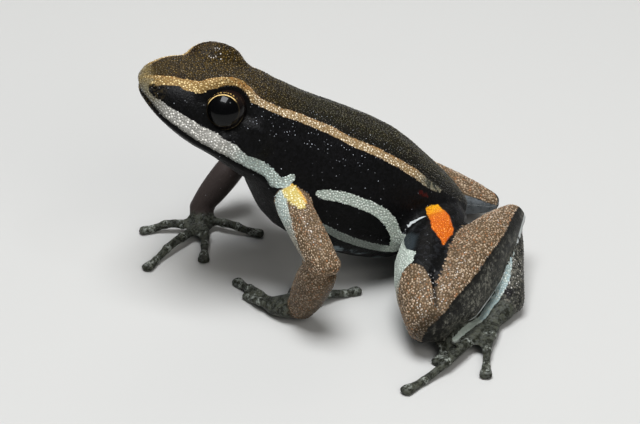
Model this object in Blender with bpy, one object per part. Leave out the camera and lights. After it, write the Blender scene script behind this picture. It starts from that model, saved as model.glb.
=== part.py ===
"""A brilliant-thighed poison frog at life size, sitting with its front end raised.

Metres, +Z up, the head toward -Y and the frog's left side toward +X.
The origin is the centre of the bounding box, on the floor under the frog.
Sizes are written in millimetres and scaled by MM where a mesh is made.
"""
import math

import bmesh
import bpy
from mathutils import Matrix, Vector

MM = 0.001

# Driving dimensions of the body, in millimetres and degrees
GAP = 0.3                      # clearance that neighbouring pieces keep
SHARP_ANGLE = 40.0             # edges that bend more than this stay crisp
SNOUT_VENT = 28.1              # snout to vent, along the trunk axis
TRUNK_PITCH = 27.0             # nose-up tilt of the trunk
HEAD_FLEX = 3.9                # how far the head is bent down from the trunk axis
SNOUT_HEIGHT = 0.6             # height of the snout's tip above the axis
NECK_AT = 18.5                 # distance from the vent to the neck, along the axis
NECK_HEIGHT = 0.3              # height of the neck's bending point above the axis
NECK_LENGTH = 2.0              # distance over which the head's bend is eased in
VENT = Vector((-0.2, 11.1, 4.5))   # the vent end of the trunk axis, in the row frame

# Sections of the trunk: distance from the vent, half width, top, bottom and height of the widest point
TRUNK_SECTIONS = (
    (0.5, 1.3, -0.2, -1.6, -0.9),
    (2.0, 2.5, 0.65, -3.5, -1.6),
    (4.5, 4.0, 1.7, -6.2, -2.8),
    (8.0, 5.0, 2.85, -7.15, -3.2),
    (12.0, 5.45, 3.05, -7.15, -3.1),
    (15.5, 5.35, 3.0, -6.2, -2.6),
    (18.35, 4.95, 3.25, -3.6, -1.4),
)
TRUNK_RINGS = 15
TRUNK_SIDES = 24
TRUNK_SQUARENESS = 2.25        # exponent of the section's superellipse

# Sections of the head, in the same columns; the last is close to the snout's tip
HEAD_SECTIONS = (
    (18.65, 4.95, 3.25, -3.6, -1.4),
    (20.3, 5.05, 3.3, -3.0, -1.0),
    (22.0, 4.9, 3.2, -2.4, -0.6),
    (23.8, 4.4, 3.0, -2.05, -0.4),
    (25.4, 3.7, 2.7, -1.5, -0.15),
    (26.6, 2.95, 2.2, -0.95, 0.2),
    (27.4, 2.05, 1.6, -0.45, 0.6),
    (27.9, 1.15, 1.15, 0.0, 0.7),
)
HEAD_RINGS = 16
HEAD_SIDES = 28
HEAD_SQUARENESS = 2.5

# Mouth, eyes, nostrils and eardrums
MOUTH_LINE = (                 # distance from the vent and height of the line between the lips
    (16.0, -2.3),
    (18.7, -1.75),
    (21.0, -1.05),
    (24.6, -0.6),
    (26.4, -0.1),
    (28.5, 0.35),
)
MOUTH_RINGS = 13
BLOCK_REACH = 8.0              # how far the block that parts the lips reaches beyond the head
EYE_RADIUS = 1.6
EYE_GAP = 0.25
EYE_OPENING = (22.15, 3.7, 1.6)    # centre of the hollow between the lids
EYE_OPENING_RADII = (1.8, 2.4, 1.75)
EYE_CENTRE = (22.15, 2.95, 1.52)   # along, aside, above the trunk axis
LID_CENTRE = (22.25, 2.65, 1.85)
LID_RADII = (2.6, 1.5, 2.2)
NOSTRIL = (27.3, 2.0, 1.1)
NOSTRIL_RADIUS = 0.3
EARDRUM = (19.8, 4.85, 0.6)
EARDRUM_RADIUS = 0.95
EARDRUM_RIM = 0.2
EARDRUM_TILT = 0.25            # upward part of the eardrum's outward direction

# Joint centres of the limbs in the row frame, in millimetres; each side has its own pose
JOINTS = {
    "l": {
        "shoulder": (4.2, -4.1, 9.3), "elbow": (10.2, -2.4, 6.6), "wrist": (7.5, -3.5, 1.3),
        "palm": (5.9, -5.3, 0.6), "hip": (2.5, 8.3, 3.9), "thigh": (8.3, 5.5, 4.0),
        "knee": (13.1, 4.8, 2.6), "shank": (7.6, 9.5, 4.2), "heel": (2.8, 13.4, 4.1),
        "ankle": (9.5, 11.6, 1.2), "foot": (11.0, 9.6, 0.55),
    },
    "r": {
        "shoulder": (-4.3, -4.2, 9.4), "elbow": (-9.3, -5.3, 5.0), "wrist": (-7.7, -9.0, 1.5),
        "palm": (-6.4, -9.0, 0.5), "hip": (-2.9, 8.3, 3.9), "thigh": (-7.6, 6.0, 3.4),
        "knee": (-12.8, 4.9, 2.2), "shank": (-5.8, 10.1, 2.15), "heel": (-3.0, 13.1, 2.25),
        "ankle": (-8.4, 11.3, 1.0), "foot": (-10.5, 9.7, 0.5),
    },
}
FINGER_TIPS = {
    "l": ((4.6, 1.2), (3.0, -3.0), (1.6, -7.45), (3.7, -7.0)),
    "r": ((-5.0, -4.65), (-2.0, -9.5), (-1.7, -13.9), (-7.2, -13.55)),
}
TOE_TIPS = {
    "l": ((9.7, 8.0), (11.6, 7.3), (15.0, 5.0), (18.1, 2.0), (17.3, 8.0)),
    "r": ((-10.9, 8.1), (-12.8, 7.5), (-15.5, 5.3), (-18.1, 2.4), (-17.0, 8.4)),
}
FINGER_ROOTS = (0.3, 0.7, 1.0, 0.9)          # share of the way from wrist to palm where each starts
TOE_ROOTS = (0.5, 0.75, 0.95, 1.0, 0.8)      # the same from ankle to foot
FINGER_SPREADS = (-0.5, -0.5, 0.0, 0.6)      # how far each starts to the outer side of that line
TOE_SPREADS = (-0.7, -0.6, -0.25, 0.2, 0.75)
FINGER_BENDS = (0.2, 0.0, 0.15, 0.2)         # how far the middle of each is bowed to its outer side
TOE_BENDS = (0.0, 0.0, -0.5, 0.8, -0.3)

# Radii of the limbs, as pairs of side and upright radius from the root to the end
UPPER_ARM_RADII = ((1.2, 1.3), (1.25, 1.35), (1.25, 1.3), (1.1, 1.15))
FOREARM_RADII = ((1.15, 1.2), (1.4, 1.45), (1.3, 1.35), (1.05, 1.0))
THIGH_RADII = ((1.9, 2.0), (2.2, 2.3), (2.2, 2.25), (1.8, 1.9))
SHANK_RADII = ((1.6, 1.7), (2.1, 2.15), (2.1, 2.15), (1.65, 1.7), (1.1, 1.1))
TARSUS_RADII = ((1.0, 1.0), (1.05, 1.0), (1.2, 1.1))
PALM_RADII = ((1.2, 1.0), (1.2, 0.85), (0.95, 0.65))
FOOT_RADII = ((1.15, 1.05), (1.2, 0.85), (1.0, 0.6))
ARM_SLIMNESS = {"l": 1.0, "r": 0.8}          # the right arm is straighter, so its muscles bulge less
SHANK_SLIMNESS = {"l": 1.0, "r": 0.8}
SEAM_BLOCK = 40.0              # edge of the block that parts a folded leg
LIMB_SIDES = 16
END_STEPS = (30.0, 60.0)       # angles of the rings that round off a limb's end
DIGIT_SIDES = 8
DIGIT_RADIUS = 0.36
DIGIT_ROOT_HEIGHT = 0.62       # height of a digit's centre line where it leaves its palm
DIGIT_TIP_HEIGHT = 0.24        # the same at its tip, low enough for a flat on the floor
DIGIT_ARCH = 0.22              # how far a digit rises between its root and its tip
BOW_LIFT = 0.4                 # extra rise for each unit that a digit is bowed aside
NEAR_TIP = 0.82                # where a digit comes down to its disc, as a share of its length
NEAR_BOW = 0.45                # share of the bow and of the arch that is left there
NEAR_ARCH = 0.3
DISC_RADIUS = 0.52             # half width of the disc on a digit's tip
DISC_THICKNESS = 0.32          # its upright radius

BROWN = ((0.30, 0.19, 0.12), 0.45)
BLACK = ((0.012, 0.012, 0.014), 0.25)
OLIVE = ((0.10, 0.08, 0.05), 0.5)
GREY = ((0.13, 0.13, 0.14), 0.4)
EYE_BLACK = ((0.01, 0.008, 0.006), 0.05)

WELD_DISTANCES = (0.03, 0.012, 0.004, 0.0)   # tried in turn until the mesh stays closed
UNCUT = {}                     # the mesh of each piece before its neighbours cut it


def clear_scene():
    for item in list(bpy.data.objects):
        bpy.data.objects.remove(item, do_unlink=True)


def material(name, look):
    colour, roughness = look
    made = bpy.data.materials.new(name)
    made.use_nodes = True
    shader = made.node_tree.nodes["Principled BSDF"]
    shader.inputs["Base Color"].default_value = (*colour, 1.0)
    shader.inputs["Roughness"].default_value = roughness
    shader.inputs["Metallic"].default_value = 0.0
    return made


def smooth_step(value):
    value = min(max(value, 0.0), 1.0)
    return value * value * (3.0 - 2.0 * value)


def body_point(along, aside, above):
    """A point given along, beside and above the trunk's axis, in the row frame."""
    flex = math.radians(HEAD_FLEX) * smooth_step((along - NECK_AT) / NECK_LENGTH)
    ahead = along - NECK_AT
    rise = above - NECK_HEIGHT
    if flex > 0.0:
        along = NECK_AT + ahead * math.cos(flex) + rise * math.sin(flex)
        above = NECK_HEIGHT - ahead * math.sin(flex) + rise * math.cos(flex)
    pitch = math.radians(TRUNK_PITCH)
    back = -along * math.cos(pitch) + above * math.sin(pitch)
    lift = along * math.sin(pitch) + above * math.cos(pitch)
    return VENT + Vector((aside, back, lift))


def through(rows, place):
    """A smooth curve through the rows, read at a place from 0 to 1."""
    last = len(rows) - 1
    spot = min(max(place, 0.0), 1.0) * last
    index = min(int(spot), last - 1)
    t = spot - index
    before = rows[max(index - 1, 0)]
    start = rows[index]
    end = rows[index + 1]
    after = rows[min(index + 2, last)]
    values = []
    for p0, p1, p2, p3 in zip(before, start, end, after):
        slope = 0.5 * (p2 - p0) * t
        bend = 0.5 * (2.0 * p0 - 5.0 * p1 + 4.0 * p2 - p3) * t * t
        twist = 0.5 * (3.0 * p1 - p0 - 3.0 * p2 + p3) * t ** 3
        values.append(p1 + slope + bend + twist)
    return values


def add_object(name, mesh_data, look):
    mesh = bpy.data.meshes.new(name)
    bmesh.ops.recalc_face_normals(mesh_data, faces=mesh_data.faces)
    if mesh_data.calc_volume(signed=True) < 0.0:
        bmesh.ops.reverse_faces(mesh_data, faces=mesh_data.faces)
    mesh_data.to_mesh(mesh)
    mesh_data.free()
    mesh.materials.append(material(name, look))
    made = bpy.data.objects.new(name, mesh)
    bpy.context.scene.collection.objects.link(made)
    UNCUT[name] = mesh.copy()
    return made


def loft(name, rings, look, start=None, end=None):
    """A closed skin over rings of points, with a flat end or a tip at each end."""
    work = bmesh.new()
    loops = []
    for ring in rings:
        loops.append([work.verts.new(Vector(point) * MM) for point in ring])
    count = len(loops[0])
    for low, high in zip(loops, loops[1:]):
        for i in range(count):
            j = (i + 1) % count
            work.faces.new((low[i], low[j], high[j], high[i]))
    for loop, tip in ((loops[0], start), (loops[-1], end)):
        if tip is None:
            work.faces.new(loop)
        else:
            point = work.verts.new(Vector(tip) * MM)
            for i in range(count):
                work.faces.new((loop[i], loop[(i + 1) % count], point))
    return add_object(name, work, look)


def section_ring(row, sides, squareness):
    """One superellipse section across the trunk or the head."""
    along, half_width, top, bottom, widest = row
    points = []
    for i in range(sides):
        angle = 2.0 * math.pi * (i + 0.5) / sides
        across = math.cos(angle)
        upright = math.sin(angle)
        power = 2.0 / squareness
        aside = half_width * math.copysign(abs(across) ** power, across)
        height = top - widest if upright > 0.0 else widest - bottom
        above = widest + height * math.copysign(abs(upright) ** power, upright)
        points.append(body_point(along, aside, above))
    return points


def section_rings(rows, count, sides, squareness):
    rings = []
    for i in range(count):
        rings.append(section_ring(through(rows, i / (count - 1)), sides, squareness))
    return rings


def tube(name, path, radii, look, sides=LIMB_SIDES, count=9):
    """A round-ended limb along a path, pressed flat where it would reach below the floor."""
    points = [Vector(through(path, i / (count - 1))) for i in range(count)]
    sizes = [through(radii, i / (count - 1)) for i in range(count)]
    rings = []
    stations = []
    first = (points[1] - points[0]).normalized()
    last = (points[-1] - points[-2]).normalized()
    for degrees in reversed(END_STEPS):
        shrink = math.cos(math.radians(degrees))
        reach = math.sin(math.radians(degrees)) * min(sizes[0])
        stations.append((points[0] - first * reach, first, [size * shrink for size in sizes[0]]))
    for i, point in enumerate(points):
        ahead = points[min(i + 1, count - 1)] - points[max(i - 1, 0)]
        stations.append((point, ahead.normalized(), sizes[i]))
    for degrees in END_STEPS:
        shrink = math.cos(math.radians(degrees))
        reach = math.sin(math.radians(degrees)) * min(sizes[-1])
        stations.append((points[-1] + last * reach, last, [size * shrink for size in sizes[-1]]))
    side = first.cross(Vector((0.0, 0.0, 1.0))).normalized()
    for centre, ahead, size in stations:
        side = (side - ahead * side.dot(ahead)).normalized()
        upright = side.cross(ahead)
        ring = []
        for i in range(sides):
            angle = 2.0 * math.pi * (i + 0.5) / sides
            offset = side * math.cos(angle) * size[0] + upright * math.sin(angle) * size[1]
            ring.append(centre + offset)
        rings.append(ring)
    start = points[0] - first * min(sizes[0])
    end = points[-1] + last * min(sizes[-1])
    for ring in rings:
        for point in ring:
            point.z = max(point.z, 0.0)
    return loft(name, rings, look, start, end)


def ellipsoid(name, centre, radii, look, segments=16, rows=10):
    """A ball whose three radii lie along, beside and above the trunk's axis."""
    work = bmesh.new()
    bmesh.ops.create_uvsphere(work, u_segments=segments, v_segments=rows, radius=1.0)
    middle = body_point(*centre)
    ahead = (body_point(centre[0] + 1.0, centre[1], centre[2]) - middle).normalized()
    aside = Vector((1.0, 0.0, 0.0))
    above = aside.cross(ahead)
    if above.z < 0.0:
        above = -above
    for vert in work.verts:
        spot = vert.co.copy()
        offset = ahead * spot.y * radii[0] + aside * spot.x * radii[1] + above * spot.z * radii[2]
        vert.co = (middle + offset) * MM
    return add_object(name, work, look)


def ring_on(name, centre, normal, radius, thickness, look, segments=18, sides=6):
    """A thin ring lying round a point, across the given normal."""
    axis = Vector(normal).normalized()
    across = axis.orthogonal().normalized()
    other = axis.cross(across)
    rings = []
    for i in range(segments):
        turn = 2.0 * math.pi * i / segments
        outward = across * math.cos(turn) + other * math.sin(turn)
        ring = []
        for j in range(sides):
            angle = 2.0 * math.pi * j / sides
            offset = outward * (radius + thickness * math.cos(angle)) + axis * thickness * math.sin(angle)
            ring.append(Vector(centre) + offset)
        rings.append(ring)
    work = bmesh.new()
    loops = [[work.verts.new(point * MM) for point in ring] for ring in rings]
    for i in range(segments):
        low = loops[i]
        high = loops[(i + 1) % segments]
        for j in range(sides):
            k = (j + 1) % sides
            work.faces.new((low[j], low[k], high[k], high[j]))
    return add_object(name, work, look)


def tidy_copy(mesh, distance):
    """The mesh in triangles, with edges shorter than the distance welded away."""
    work = bmesh.new()
    work.from_mesh(mesh)
    bmesh.ops.triangulate(work, faces=work.faces)
    if distance > 0.0:
        bmesh.ops.remove_doubles(work, verts=work.verts, dist=distance * MM)
        bmesh.ops.dissolve_degenerate(work, edges=work.edges, dist=distance * MM)
        bmesh.ops.triangulate(work, faces=work.faces)
    return work


def linked_faces(seed):
    """All faces that hang together with one face."""
    group = {seed}
    stack = [seed]
    while stack:
        for edge in stack.pop().edges:
            for other in edge.link_faces:
                if other not in group:
                    group.add(other)
                    stack.append(other)
    return group


def enclosed(faces):
    """The volume inside a closed set of triangles."""
    total = 0.0
    for face in faces:
        a, b, c = (vert.co for vert in face.verts)
        total += a.dot(b.cross(c)) / 6.0
    return total


def keep_largest(mesh):
    """Keep the closed surface with the largest volume and drop loose scraps."""
    for distance in WELD_DISTANCES:
        work = tidy_copy(mesh, distance)
        if all(edge.is_manifold for edge in work.edges):
            break
        if distance > 0.0:
            work.free()
    left = set(work.faces)
    groups = []
    while left:
        group = linked_faces(next(iter(left)))
        left -= group
        groups.append(group)
    best = max(groups, key=enclosed)
    drop = [face for face in work.faces if face not in best]
    bmesh.ops.delete(work, geom=drop, context="FACES")
    work.to_mesh(mesh)
    work.free()


def combine(target, other, operation, solver="EXACT"):
    """Apply one Boolean to the target and remove the other object."""
    step = target.modifiers.new("combine", "BOOLEAN")
    step.operation = operation
    step.solver = solver
    step.object = other
    graph = bpy.context.evaluated_depsgraph_get()
    graph.update()
    result = bpy.data.meshes.new_from_object(target.evaluated_get(graph))
    target.modifiers.clear()
    target.data = result
    bpy.data.objects.remove(other, do_unlink=True)
    keep_largest(result)


def grown(source, distance):
    """A copy of a piece, swollen by the distance, for cutting its neighbour clear of it."""
    copy = bpy.data.objects.new(source.name + "_grown", UNCUT[source.name].copy())
    bpy.context.scene.collection.objects.link(copy)
    work = bmesh.new()
    work.from_mesh(copy.data)
    work.normal_update()
    moves = [(vert, vert.normal * distance * MM) for vert in work.verts]
    for vert, move in moves:
        vert.co += move
    work.to_mesh(copy.data)
    work.free()
    return copy


def boxes_touch(first, second, margin):
    for axis in range(3):
        a = [corner[axis] for corner in first.bound_box]
        b = [corner[axis] for corner in second.bound_box]
        if min(a) > max(b) + margin or min(b) > max(a) + margin:
            return False
    return True


def cut_clear(target, neighbours, distance=GAP):
    """Cut the target back until it stands clear of each neighbour by the distance."""
    bpy.context.view_layer.update()
    for neighbour in neighbours:
        if boxes_touch(target, neighbour, distance * MM):
            combine(target, grown(neighbour, distance), "DIFFERENCE")
            bpy.context.view_layer.update()


def mouth_block(above, clearance):
    """Everything above or below the line of the mouth, for parting the head from the jaw."""
    edge_shift = -clearance if above else clearance
    outer = BLOCK_REACH if above else -BLOCK_REACH
    rings = []
    for i in range(MOUTH_RINGS):
        along, line = through(MOUTH_LINE, i / (MOUTH_RINGS - 1))
        edge = line + edge_shift
        corners = ((-BLOCK_REACH, edge), (BLOCK_REACH, edge), (BLOCK_REACH, outer), (-BLOCK_REACH, outer))
        rings.append([body_point(along, aside, height) for aside, height in corners])
    return loft("mouth_block", rings, BLACK)


def build_trunk():
    rings = section_rings(TRUNK_SECTIONS, TRUNK_RINGS, TRUNK_SIDES, TRUNK_SQUARENESS)
    return loft("torso", rings, BLACK, start=body_point(0.0, 0.0, TRUNK_SECTIONS[0][4]))


def build_eye(side, sign):
    centre = (EYE_CENTRE[0], sign * EYE_CENTRE[1], EYE_CENTRE[2])
    return ellipsoid("eye_" + side, centre, (EYE_RADIUS,) * 3, EYE_BLACK)


def head_solid(name, look):
    rings = section_rings(HEAD_SECTIONS, HEAD_RINGS, HEAD_SIDES, HEAD_SQUARENESS)
    return loft(name, rings, look, end=body_point(SNOUT_VENT, 0.0, SNOUT_HEIGHT))


def build_head(eyes):
    head = head_solid("head", OLIVE)
    combine(head, mouth_block(False, GAP / 2), "DIFFERENCE")
    for sign in (1, -1):
        lid = (LID_CENTRE[0], sign * LID_CENTRE[1], LID_CENTRE[2])
        combine(head, ellipsoid("lid", lid, LID_RADII, OLIVE), "UNION")
        spot = body_point(EARDRUM[0], sign * EARDRUM[1], EARDRUM[2])
        rim = ring_on("rim", spot, (sign, 0.0, EARDRUM_TILT), EARDRUM_RADIUS, EARDRUM_RIM, OLIVE)
        combine(head, rim, "UNION")
    for sign in (1, -1):
        pit = (NOSTRIL[0], sign * NOSTRIL[1], NOSTRIL[2])
        combine(head, ellipsoid("pit", pit, (NOSTRIL_RADIUS,) * 3, BLACK, 10, 6), "DIFFERENCE")
        opening = (EYE_OPENING[0], sign * EYE_OPENING[1], EYE_OPENING[2])
        combine(head, ellipsoid("opening", opening, EYE_OPENING_RADII, BLACK, 20, 12), "DIFFERENCE")
    cut_clear(head, eyes, EYE_GAP)
    return head


def build_jaw():
    jaw = head_solid("lower_jaw", BLACK)
    combine(jaw, mouth_block(True, GAP / 2), "DIFFERENCE")
    return jaw


def digit(name, root, tip, bend):
    """A slender digit, arched and bowed a little, that ends in a flat disc."""
    start = Vector(root)
    end = Vector((*tip, DIGIT_TIP_HEIGHT))
    ahead = (end - start).normalized()
    outward = Vector((-ahead.y, ahead.x, 0.0)) * bend
    middle = start.lerp(end, 0.5) + outward
    middle.z += DIGIT_ARCH + BOW_LIFT * abs(bend)
    near = start.lerp(end, NEAR_TIP) + outward * NEAR_BOW
    near.z = end.z + DIGIT_ARCH * NEAR_ARCH
    path = [start, middle, near, end]
    wide = DIGIT_RADIUS
    radii = ((wide * 1.15, wide), (wide, wide), (wide * 0.85, wide * 0.85), (DISC_RADIUS, DISC_THICKNESS))
    return tube(name, path, radii, GREY, DIGIT_SIDES, 8)


def digits(kind, side, base, end, shape, clear_of):
    """The digits of one hand or foot, each rooted in the palm and cut clear of its neighbours."""
    outer = 1.0 if side == "l" else -1.0
    ahead = (Vector(end) - Vector(base)).normalized()
    aside = Vector((-ahead.y, ahead.x, 0.0)) * outer
    made = []
    for number, (tip, share, spread, bend) in enumerate(zip(*shape), start=1):
        root = Vector(base).lerp(Vector(end), share) + aside * spread
        root.z = DIGIT_ROOT_HEIGHT
        piece = digit(f"{kind}_{number}_{side}", root, tip, outer * bend)
        cut_clear(piece, clear_of + made)
        made.append(piece)
    return made


def slim(radii, factor):
    return [(side * factor, upright * factor) for side, upright in radii]


def build_arm(side, clear_of):
    at = JOINTS[side]
    upper = tube("upper_arm_" + side, [at["shoulder"], at["elbow"]], UPPER_ARM_RADII, BROWN)
    cut_clear(upper, clear_of)
    radii = slim(FOREARM_RADII, ARM_SLIMNESS[side])
    forearm = tube("forearm_" + side, [at["elbow"], at["wrist"]], radii, BROWN)
    cut_clear(forearm, [upper])
    palm_radii = slim(PALM_RADII, ARM_SLIMNESS[side])
    hand = tube("hand_" + side, [at["wrist"], at["palm"]], palm_radii, GREY, 12, 6)
    cut_clear(hand, [forearm])
    shape = (FINGER_TIPS[side], FINGER_ROOTS, FINGER_SPREADS, FINGER_BENDS)
    fingers = digits("finger", side, at["wrist"], at["palm"], shape, [hand, forearm])
    return [upper, forearm, hand] + fingers


def half_space(point, normal):
    """A large block whose face passes through the point, on the side the normal points to."""
    towards = normal.normalized()
    work = bmesh.new()
    bmesh.ops.create_cube(work, size=SEAM_BLOCK * MM)
    turn = Vector((0.0, 0.0, 1.0)).rotation_difference(towards).to_matrix().to_4x4()
    place = Matrix.Translation((point + towards * SEAM_BLOCK / 2.0) * MM)
    bmesh.ops.transform(work, matrix=place @ turn, verts=work.verts)
    return add_object("half_space", work, BLACK)


def part_folded_leg(at, thigh, shank):
    """Where thigh and shank are pressed together, part them along a flat seam from the knee."""
    knee = Vector(at["knee"])
    above = Vector(at["thigh"])
    below = Vector(at["shank"])
    along = (above.lerp(below, 0.5) - knee).normalized()
    normal = below - above
    normal = (normal - along * normal.dot(along)).normalized()
    combine(thigh, half_space(knee - normal * GAP / 2.0, normal), "DIFFERENCE")
    combine(shank, half_space(knee + normal * GAP / 2.0, -normal), "DIFFERENCE")


def build_leg(side, clear_of):
    at = JOINTS[side]
    thigh = tube("thigh_" + side, [at["hip"], at["thigh"], at["knee"]], THIGH_RADII, BROWN)
    shank_radii = slim(SHANK_RADII, SHANK_SLIMNESS[side])
    shank = tube("shank_" + side, [at["knee"], at["shank"], at["heel"]], shank_radii, BROWN)
    part_folded_leg(at, thigh, shank)
    cut_clear(thigh, clear_of)
    cut_clear(shank, clear_of)
    tarsus = tube("tarsus_" + side, [at["heel"], at["ankle"]], TARSUS_RADII, GREY)
    cut_clear(tarsus, [shank, thigh] + clear_of)
    foot = tube("foot_" + side, [at["ankle"], at["foot"]], FOOT_RADII, GREY, 12, 6)
    cut_clear(foot, [tarsus, shank, thigh])
    shape = (TOE_TIPS[side], TOE_ROOTS, TOE_SPREADS, TOE_BENDS)
    toes = digits("toe", side, at["ankle"], at["foot"], shape, [foot, tarsus, shank, thigh])
    return [thigh, shank, tarsus, foot] + toes


def shade(pieces):
    for piece in pieces:
        piece.data.shade_smooth()
        piece.data.set_sharp_from_angle(angle=math.radians(SHARP_ANGLE))


def main():
    clear_scene()
    torso = build_trunk()
    eyes = [build_eye("l", 1), build_eye("r", -1)]
    head = build_head(eyes)
    jaw = build_jaw()
    core = [torso, head, jaw]
    pieces = core + eyes
    for side in ("l", "r"):
        pieces += build_arm(side, core)
    for side in ("l", "r"):
        pieces += build_leg(side, core)
    shade(pieces)


main()
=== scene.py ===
# %% [markdown]
# # A brilliant-thighed poison frog, life size
# The frog is a museum model: one still animal, 37 mm long, sitting on its four feet with the head raised.
# The imported solids give its size, its pose and every limb, and this lesson turns them into a
# living-looking skin with eyes, lids, folds, stripes and grain. Everything below is in metres, but the
# skin is shaped in millimetres, because Blender's tools are more exact on numbers near one.

# %% Load the imported solids
import math
import bpy
import numpy as np
from mathutils import Matrix, Vector
from mathutils.bvhtree import BVHTree
from mathutils.kdtree import KDTree


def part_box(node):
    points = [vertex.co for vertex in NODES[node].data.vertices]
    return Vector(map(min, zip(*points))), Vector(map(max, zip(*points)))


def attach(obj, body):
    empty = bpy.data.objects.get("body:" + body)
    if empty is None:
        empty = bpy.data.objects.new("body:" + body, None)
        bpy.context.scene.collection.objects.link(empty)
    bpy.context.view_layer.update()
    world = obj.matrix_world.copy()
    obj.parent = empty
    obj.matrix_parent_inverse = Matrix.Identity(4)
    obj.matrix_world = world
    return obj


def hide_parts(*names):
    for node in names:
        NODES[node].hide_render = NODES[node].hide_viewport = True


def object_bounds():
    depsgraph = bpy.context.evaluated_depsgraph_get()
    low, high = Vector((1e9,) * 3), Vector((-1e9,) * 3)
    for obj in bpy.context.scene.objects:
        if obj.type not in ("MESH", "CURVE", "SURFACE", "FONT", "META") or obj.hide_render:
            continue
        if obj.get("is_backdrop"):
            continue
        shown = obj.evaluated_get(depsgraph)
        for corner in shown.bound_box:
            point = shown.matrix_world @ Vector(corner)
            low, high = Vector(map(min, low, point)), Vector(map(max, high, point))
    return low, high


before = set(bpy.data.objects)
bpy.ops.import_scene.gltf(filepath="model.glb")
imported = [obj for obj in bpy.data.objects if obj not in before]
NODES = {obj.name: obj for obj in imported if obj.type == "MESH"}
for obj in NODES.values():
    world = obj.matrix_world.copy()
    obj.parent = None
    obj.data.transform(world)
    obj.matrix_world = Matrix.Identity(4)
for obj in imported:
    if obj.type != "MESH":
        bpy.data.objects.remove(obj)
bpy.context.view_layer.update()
MM = 0.001

# %% [markdown]
# The camera stands at the frog's left, a little in front and 31 degrees above the floor. It is a long
# lens at about 19 cm, as macro photographs have, so near and far legs keep nearly the same scale.

# %% Set up the camera
CAMERA_RIGHT = Vector((0.17589, 0.98441, 0.0))
CAMERA_UP = Vector((-0.50329, 0.08993, 0.85943))
CAMERA_BACK = Vector((0.84603, -0.15117, 0.51126))
CAMERA_ROLL = math.radians(0.538)
CAMERA_PLACE = Vector((158.69, -29.13, 100.56)) * MM
LENS = 139.6


def axes_matrix(right, up, back, place):
    """A matrix whose columns are three axes and a place."""
    matrix = Matrix((right, up, back)).transposed().to_4x4()
    matrix.translation = place
    return matrix


rolled_right = CAMERA_RIGHT * math.cos(CAMERA_ROLL) - CAMERA_UP * math.sin(CAMERA_ROLL)
rolled_up = CAMERA_UP * math.cos(CAMERA_ROLL) + CAMERA_RIGHT * math.sin(CAMERA_ROLL)
bpy.ops.object.camera_add()
camera = bpy.context.object
camera.matrix_world = axes_matrix(rolled_right, rolled_up, CAMERA_BACK, CAMERA_PLACE)
camera.data.lens = LENS
camera.data.sensor_width = 36.0
camera.data.clip_start = 0.01
camera.data.clip_end = 20.0
bpy.context.scene.camera = camera
print("camera at", [round(c, 4) for c in camera.location], "lens", LENS)

# %% [markdown]
# The floor is a plain pale sheet of paper-like card. A wide soft box hangs straight above the frog, which
# is where the bright spot on its eye comes from, and two weaker lights keep the shaded side readable.

# %% Lay the floor and hang the lights
FLOOR_SIZE = 3.0


def clear_selection():
    """Deselects everything, because operators act on all that is selected."""
    for thing in bpy.context.selected_objects:
        thing.select_set(False)


clear_selection()
bpy.ops.mesh.primitive_plane_add(size=FLOOR_SIZE, location=(0, 0, 0))
floor = bpy.context.object
floor.name = "floor"
floor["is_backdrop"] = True
floor_finish = bpy.data.materials.new("pale_card")
floor_finish.use_nodes = True
floor_shader = floor_finish.node_tree.nodes["Principled BSDF"]
floor_shader.inputs["Base Color"].default_value = (0.56, 0.56, 0.545, 1.0)
floor_shader.inputs["Roughness"].default_value = 0.9
floor_shader.inputs["Specular IOR Level"].default_value = 0.1
floor.data.materials.append(floor_finish)


def soft_light(name, place, aim, size, power, colour):
    """A square soft box at a place, turned to look at aim."""
    bpy.ops.object.light_add(type="AREA", location=place)
    light = bpy.context.object
    light.name = name
    light.rotation_euler = (Vector(aim) - Vector(place)).to_track_quat("-Z", "Y").to_euler()
    light.data.size = size
    light.data.energy = power
    light.data.color = colour
    return light


AIM = (0.0, 0.0, 0.008)
soft_light("top_box", (0.03, -0.02, 0.30), AIM, 0.15, 1.05, (0.97, 0.98, 1.0))
soft_light("small_spark", (0.122, 0.114, 0.249), AIM, 0.03, 0.03, (0.95, 0.97, 1.0))
front = soft_light("camera_side", (0.28, 0.10, 0.22), AIM, 0.22, 0.42, (1.0, 0.97, 0.93))
front.visible_glossy = False
soft_light("far_rim", (-0.25, 0.06, 0.20), AIM, 0.20, 0.15, (1.0, 0.96, 0.90))
world = bpy.data.worlds.new("studio")
bpy.context.scene.world = world
world.use_nodes = True
bpy.context.scene.view_settings.view_transform = "Standard"
world.node_tree.nodes["Background"].inputs["Color"].default_value = (0.80, 0.82, 0.85, 1.0)
world.node_tree.nodes["Background"].inputs["Strength"].default_value = 0.10

# %% [markdown]
# ## The skin
# A frog's skin is one continuous sheet, while the solids are separate flat-faced parts with hairline
# gaps. The parts could be covered one by one, but the seams would show. Here copies of them are joined,
# swollen until the gaps close, turned into one closed surface of small even squares, and let back to
# their size.

# %% Join copies of the solids and close their gaps
SWELL = 0.24
SQUARE = 0.21


def cad_copy(name):
    """A copy of one solid as a new object, in millimetres."""
    made = bpy.data.objects.new("copy_" + name, NODES[name].data.copy())
    bpy.context.collection.objects.link(made)
    made.data.materials.clear()
    made.data.transform(Matrix.Scale(1 / MM, 4))
    return made


def coordinates(thing):
    """The corners of a mesh as an array of rows."""
    flat = np.zeros(len(thing.data.vertices) * 3, np.float32)
    thing.data.vertices.foreach_get("co", flat)
    return flat.reshape(-1, 3).astype(float)


def directions(thing):
    """The normals at the corners of a mesh."""
    flat = np.zeros(len(thing.data.vertices) * 3, np.float32)
    thing.data.vertex_normals.foreach_get("vector", flat)
    return flat.reshape(-1, 3).astype(float)


def put(thing, rows):
    """Writes an array of corners back to a mesh."""
    thing.data.vertices.foreach_set("co", rows.astype(np.float32).ravel())
    thing.data.update()


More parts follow.
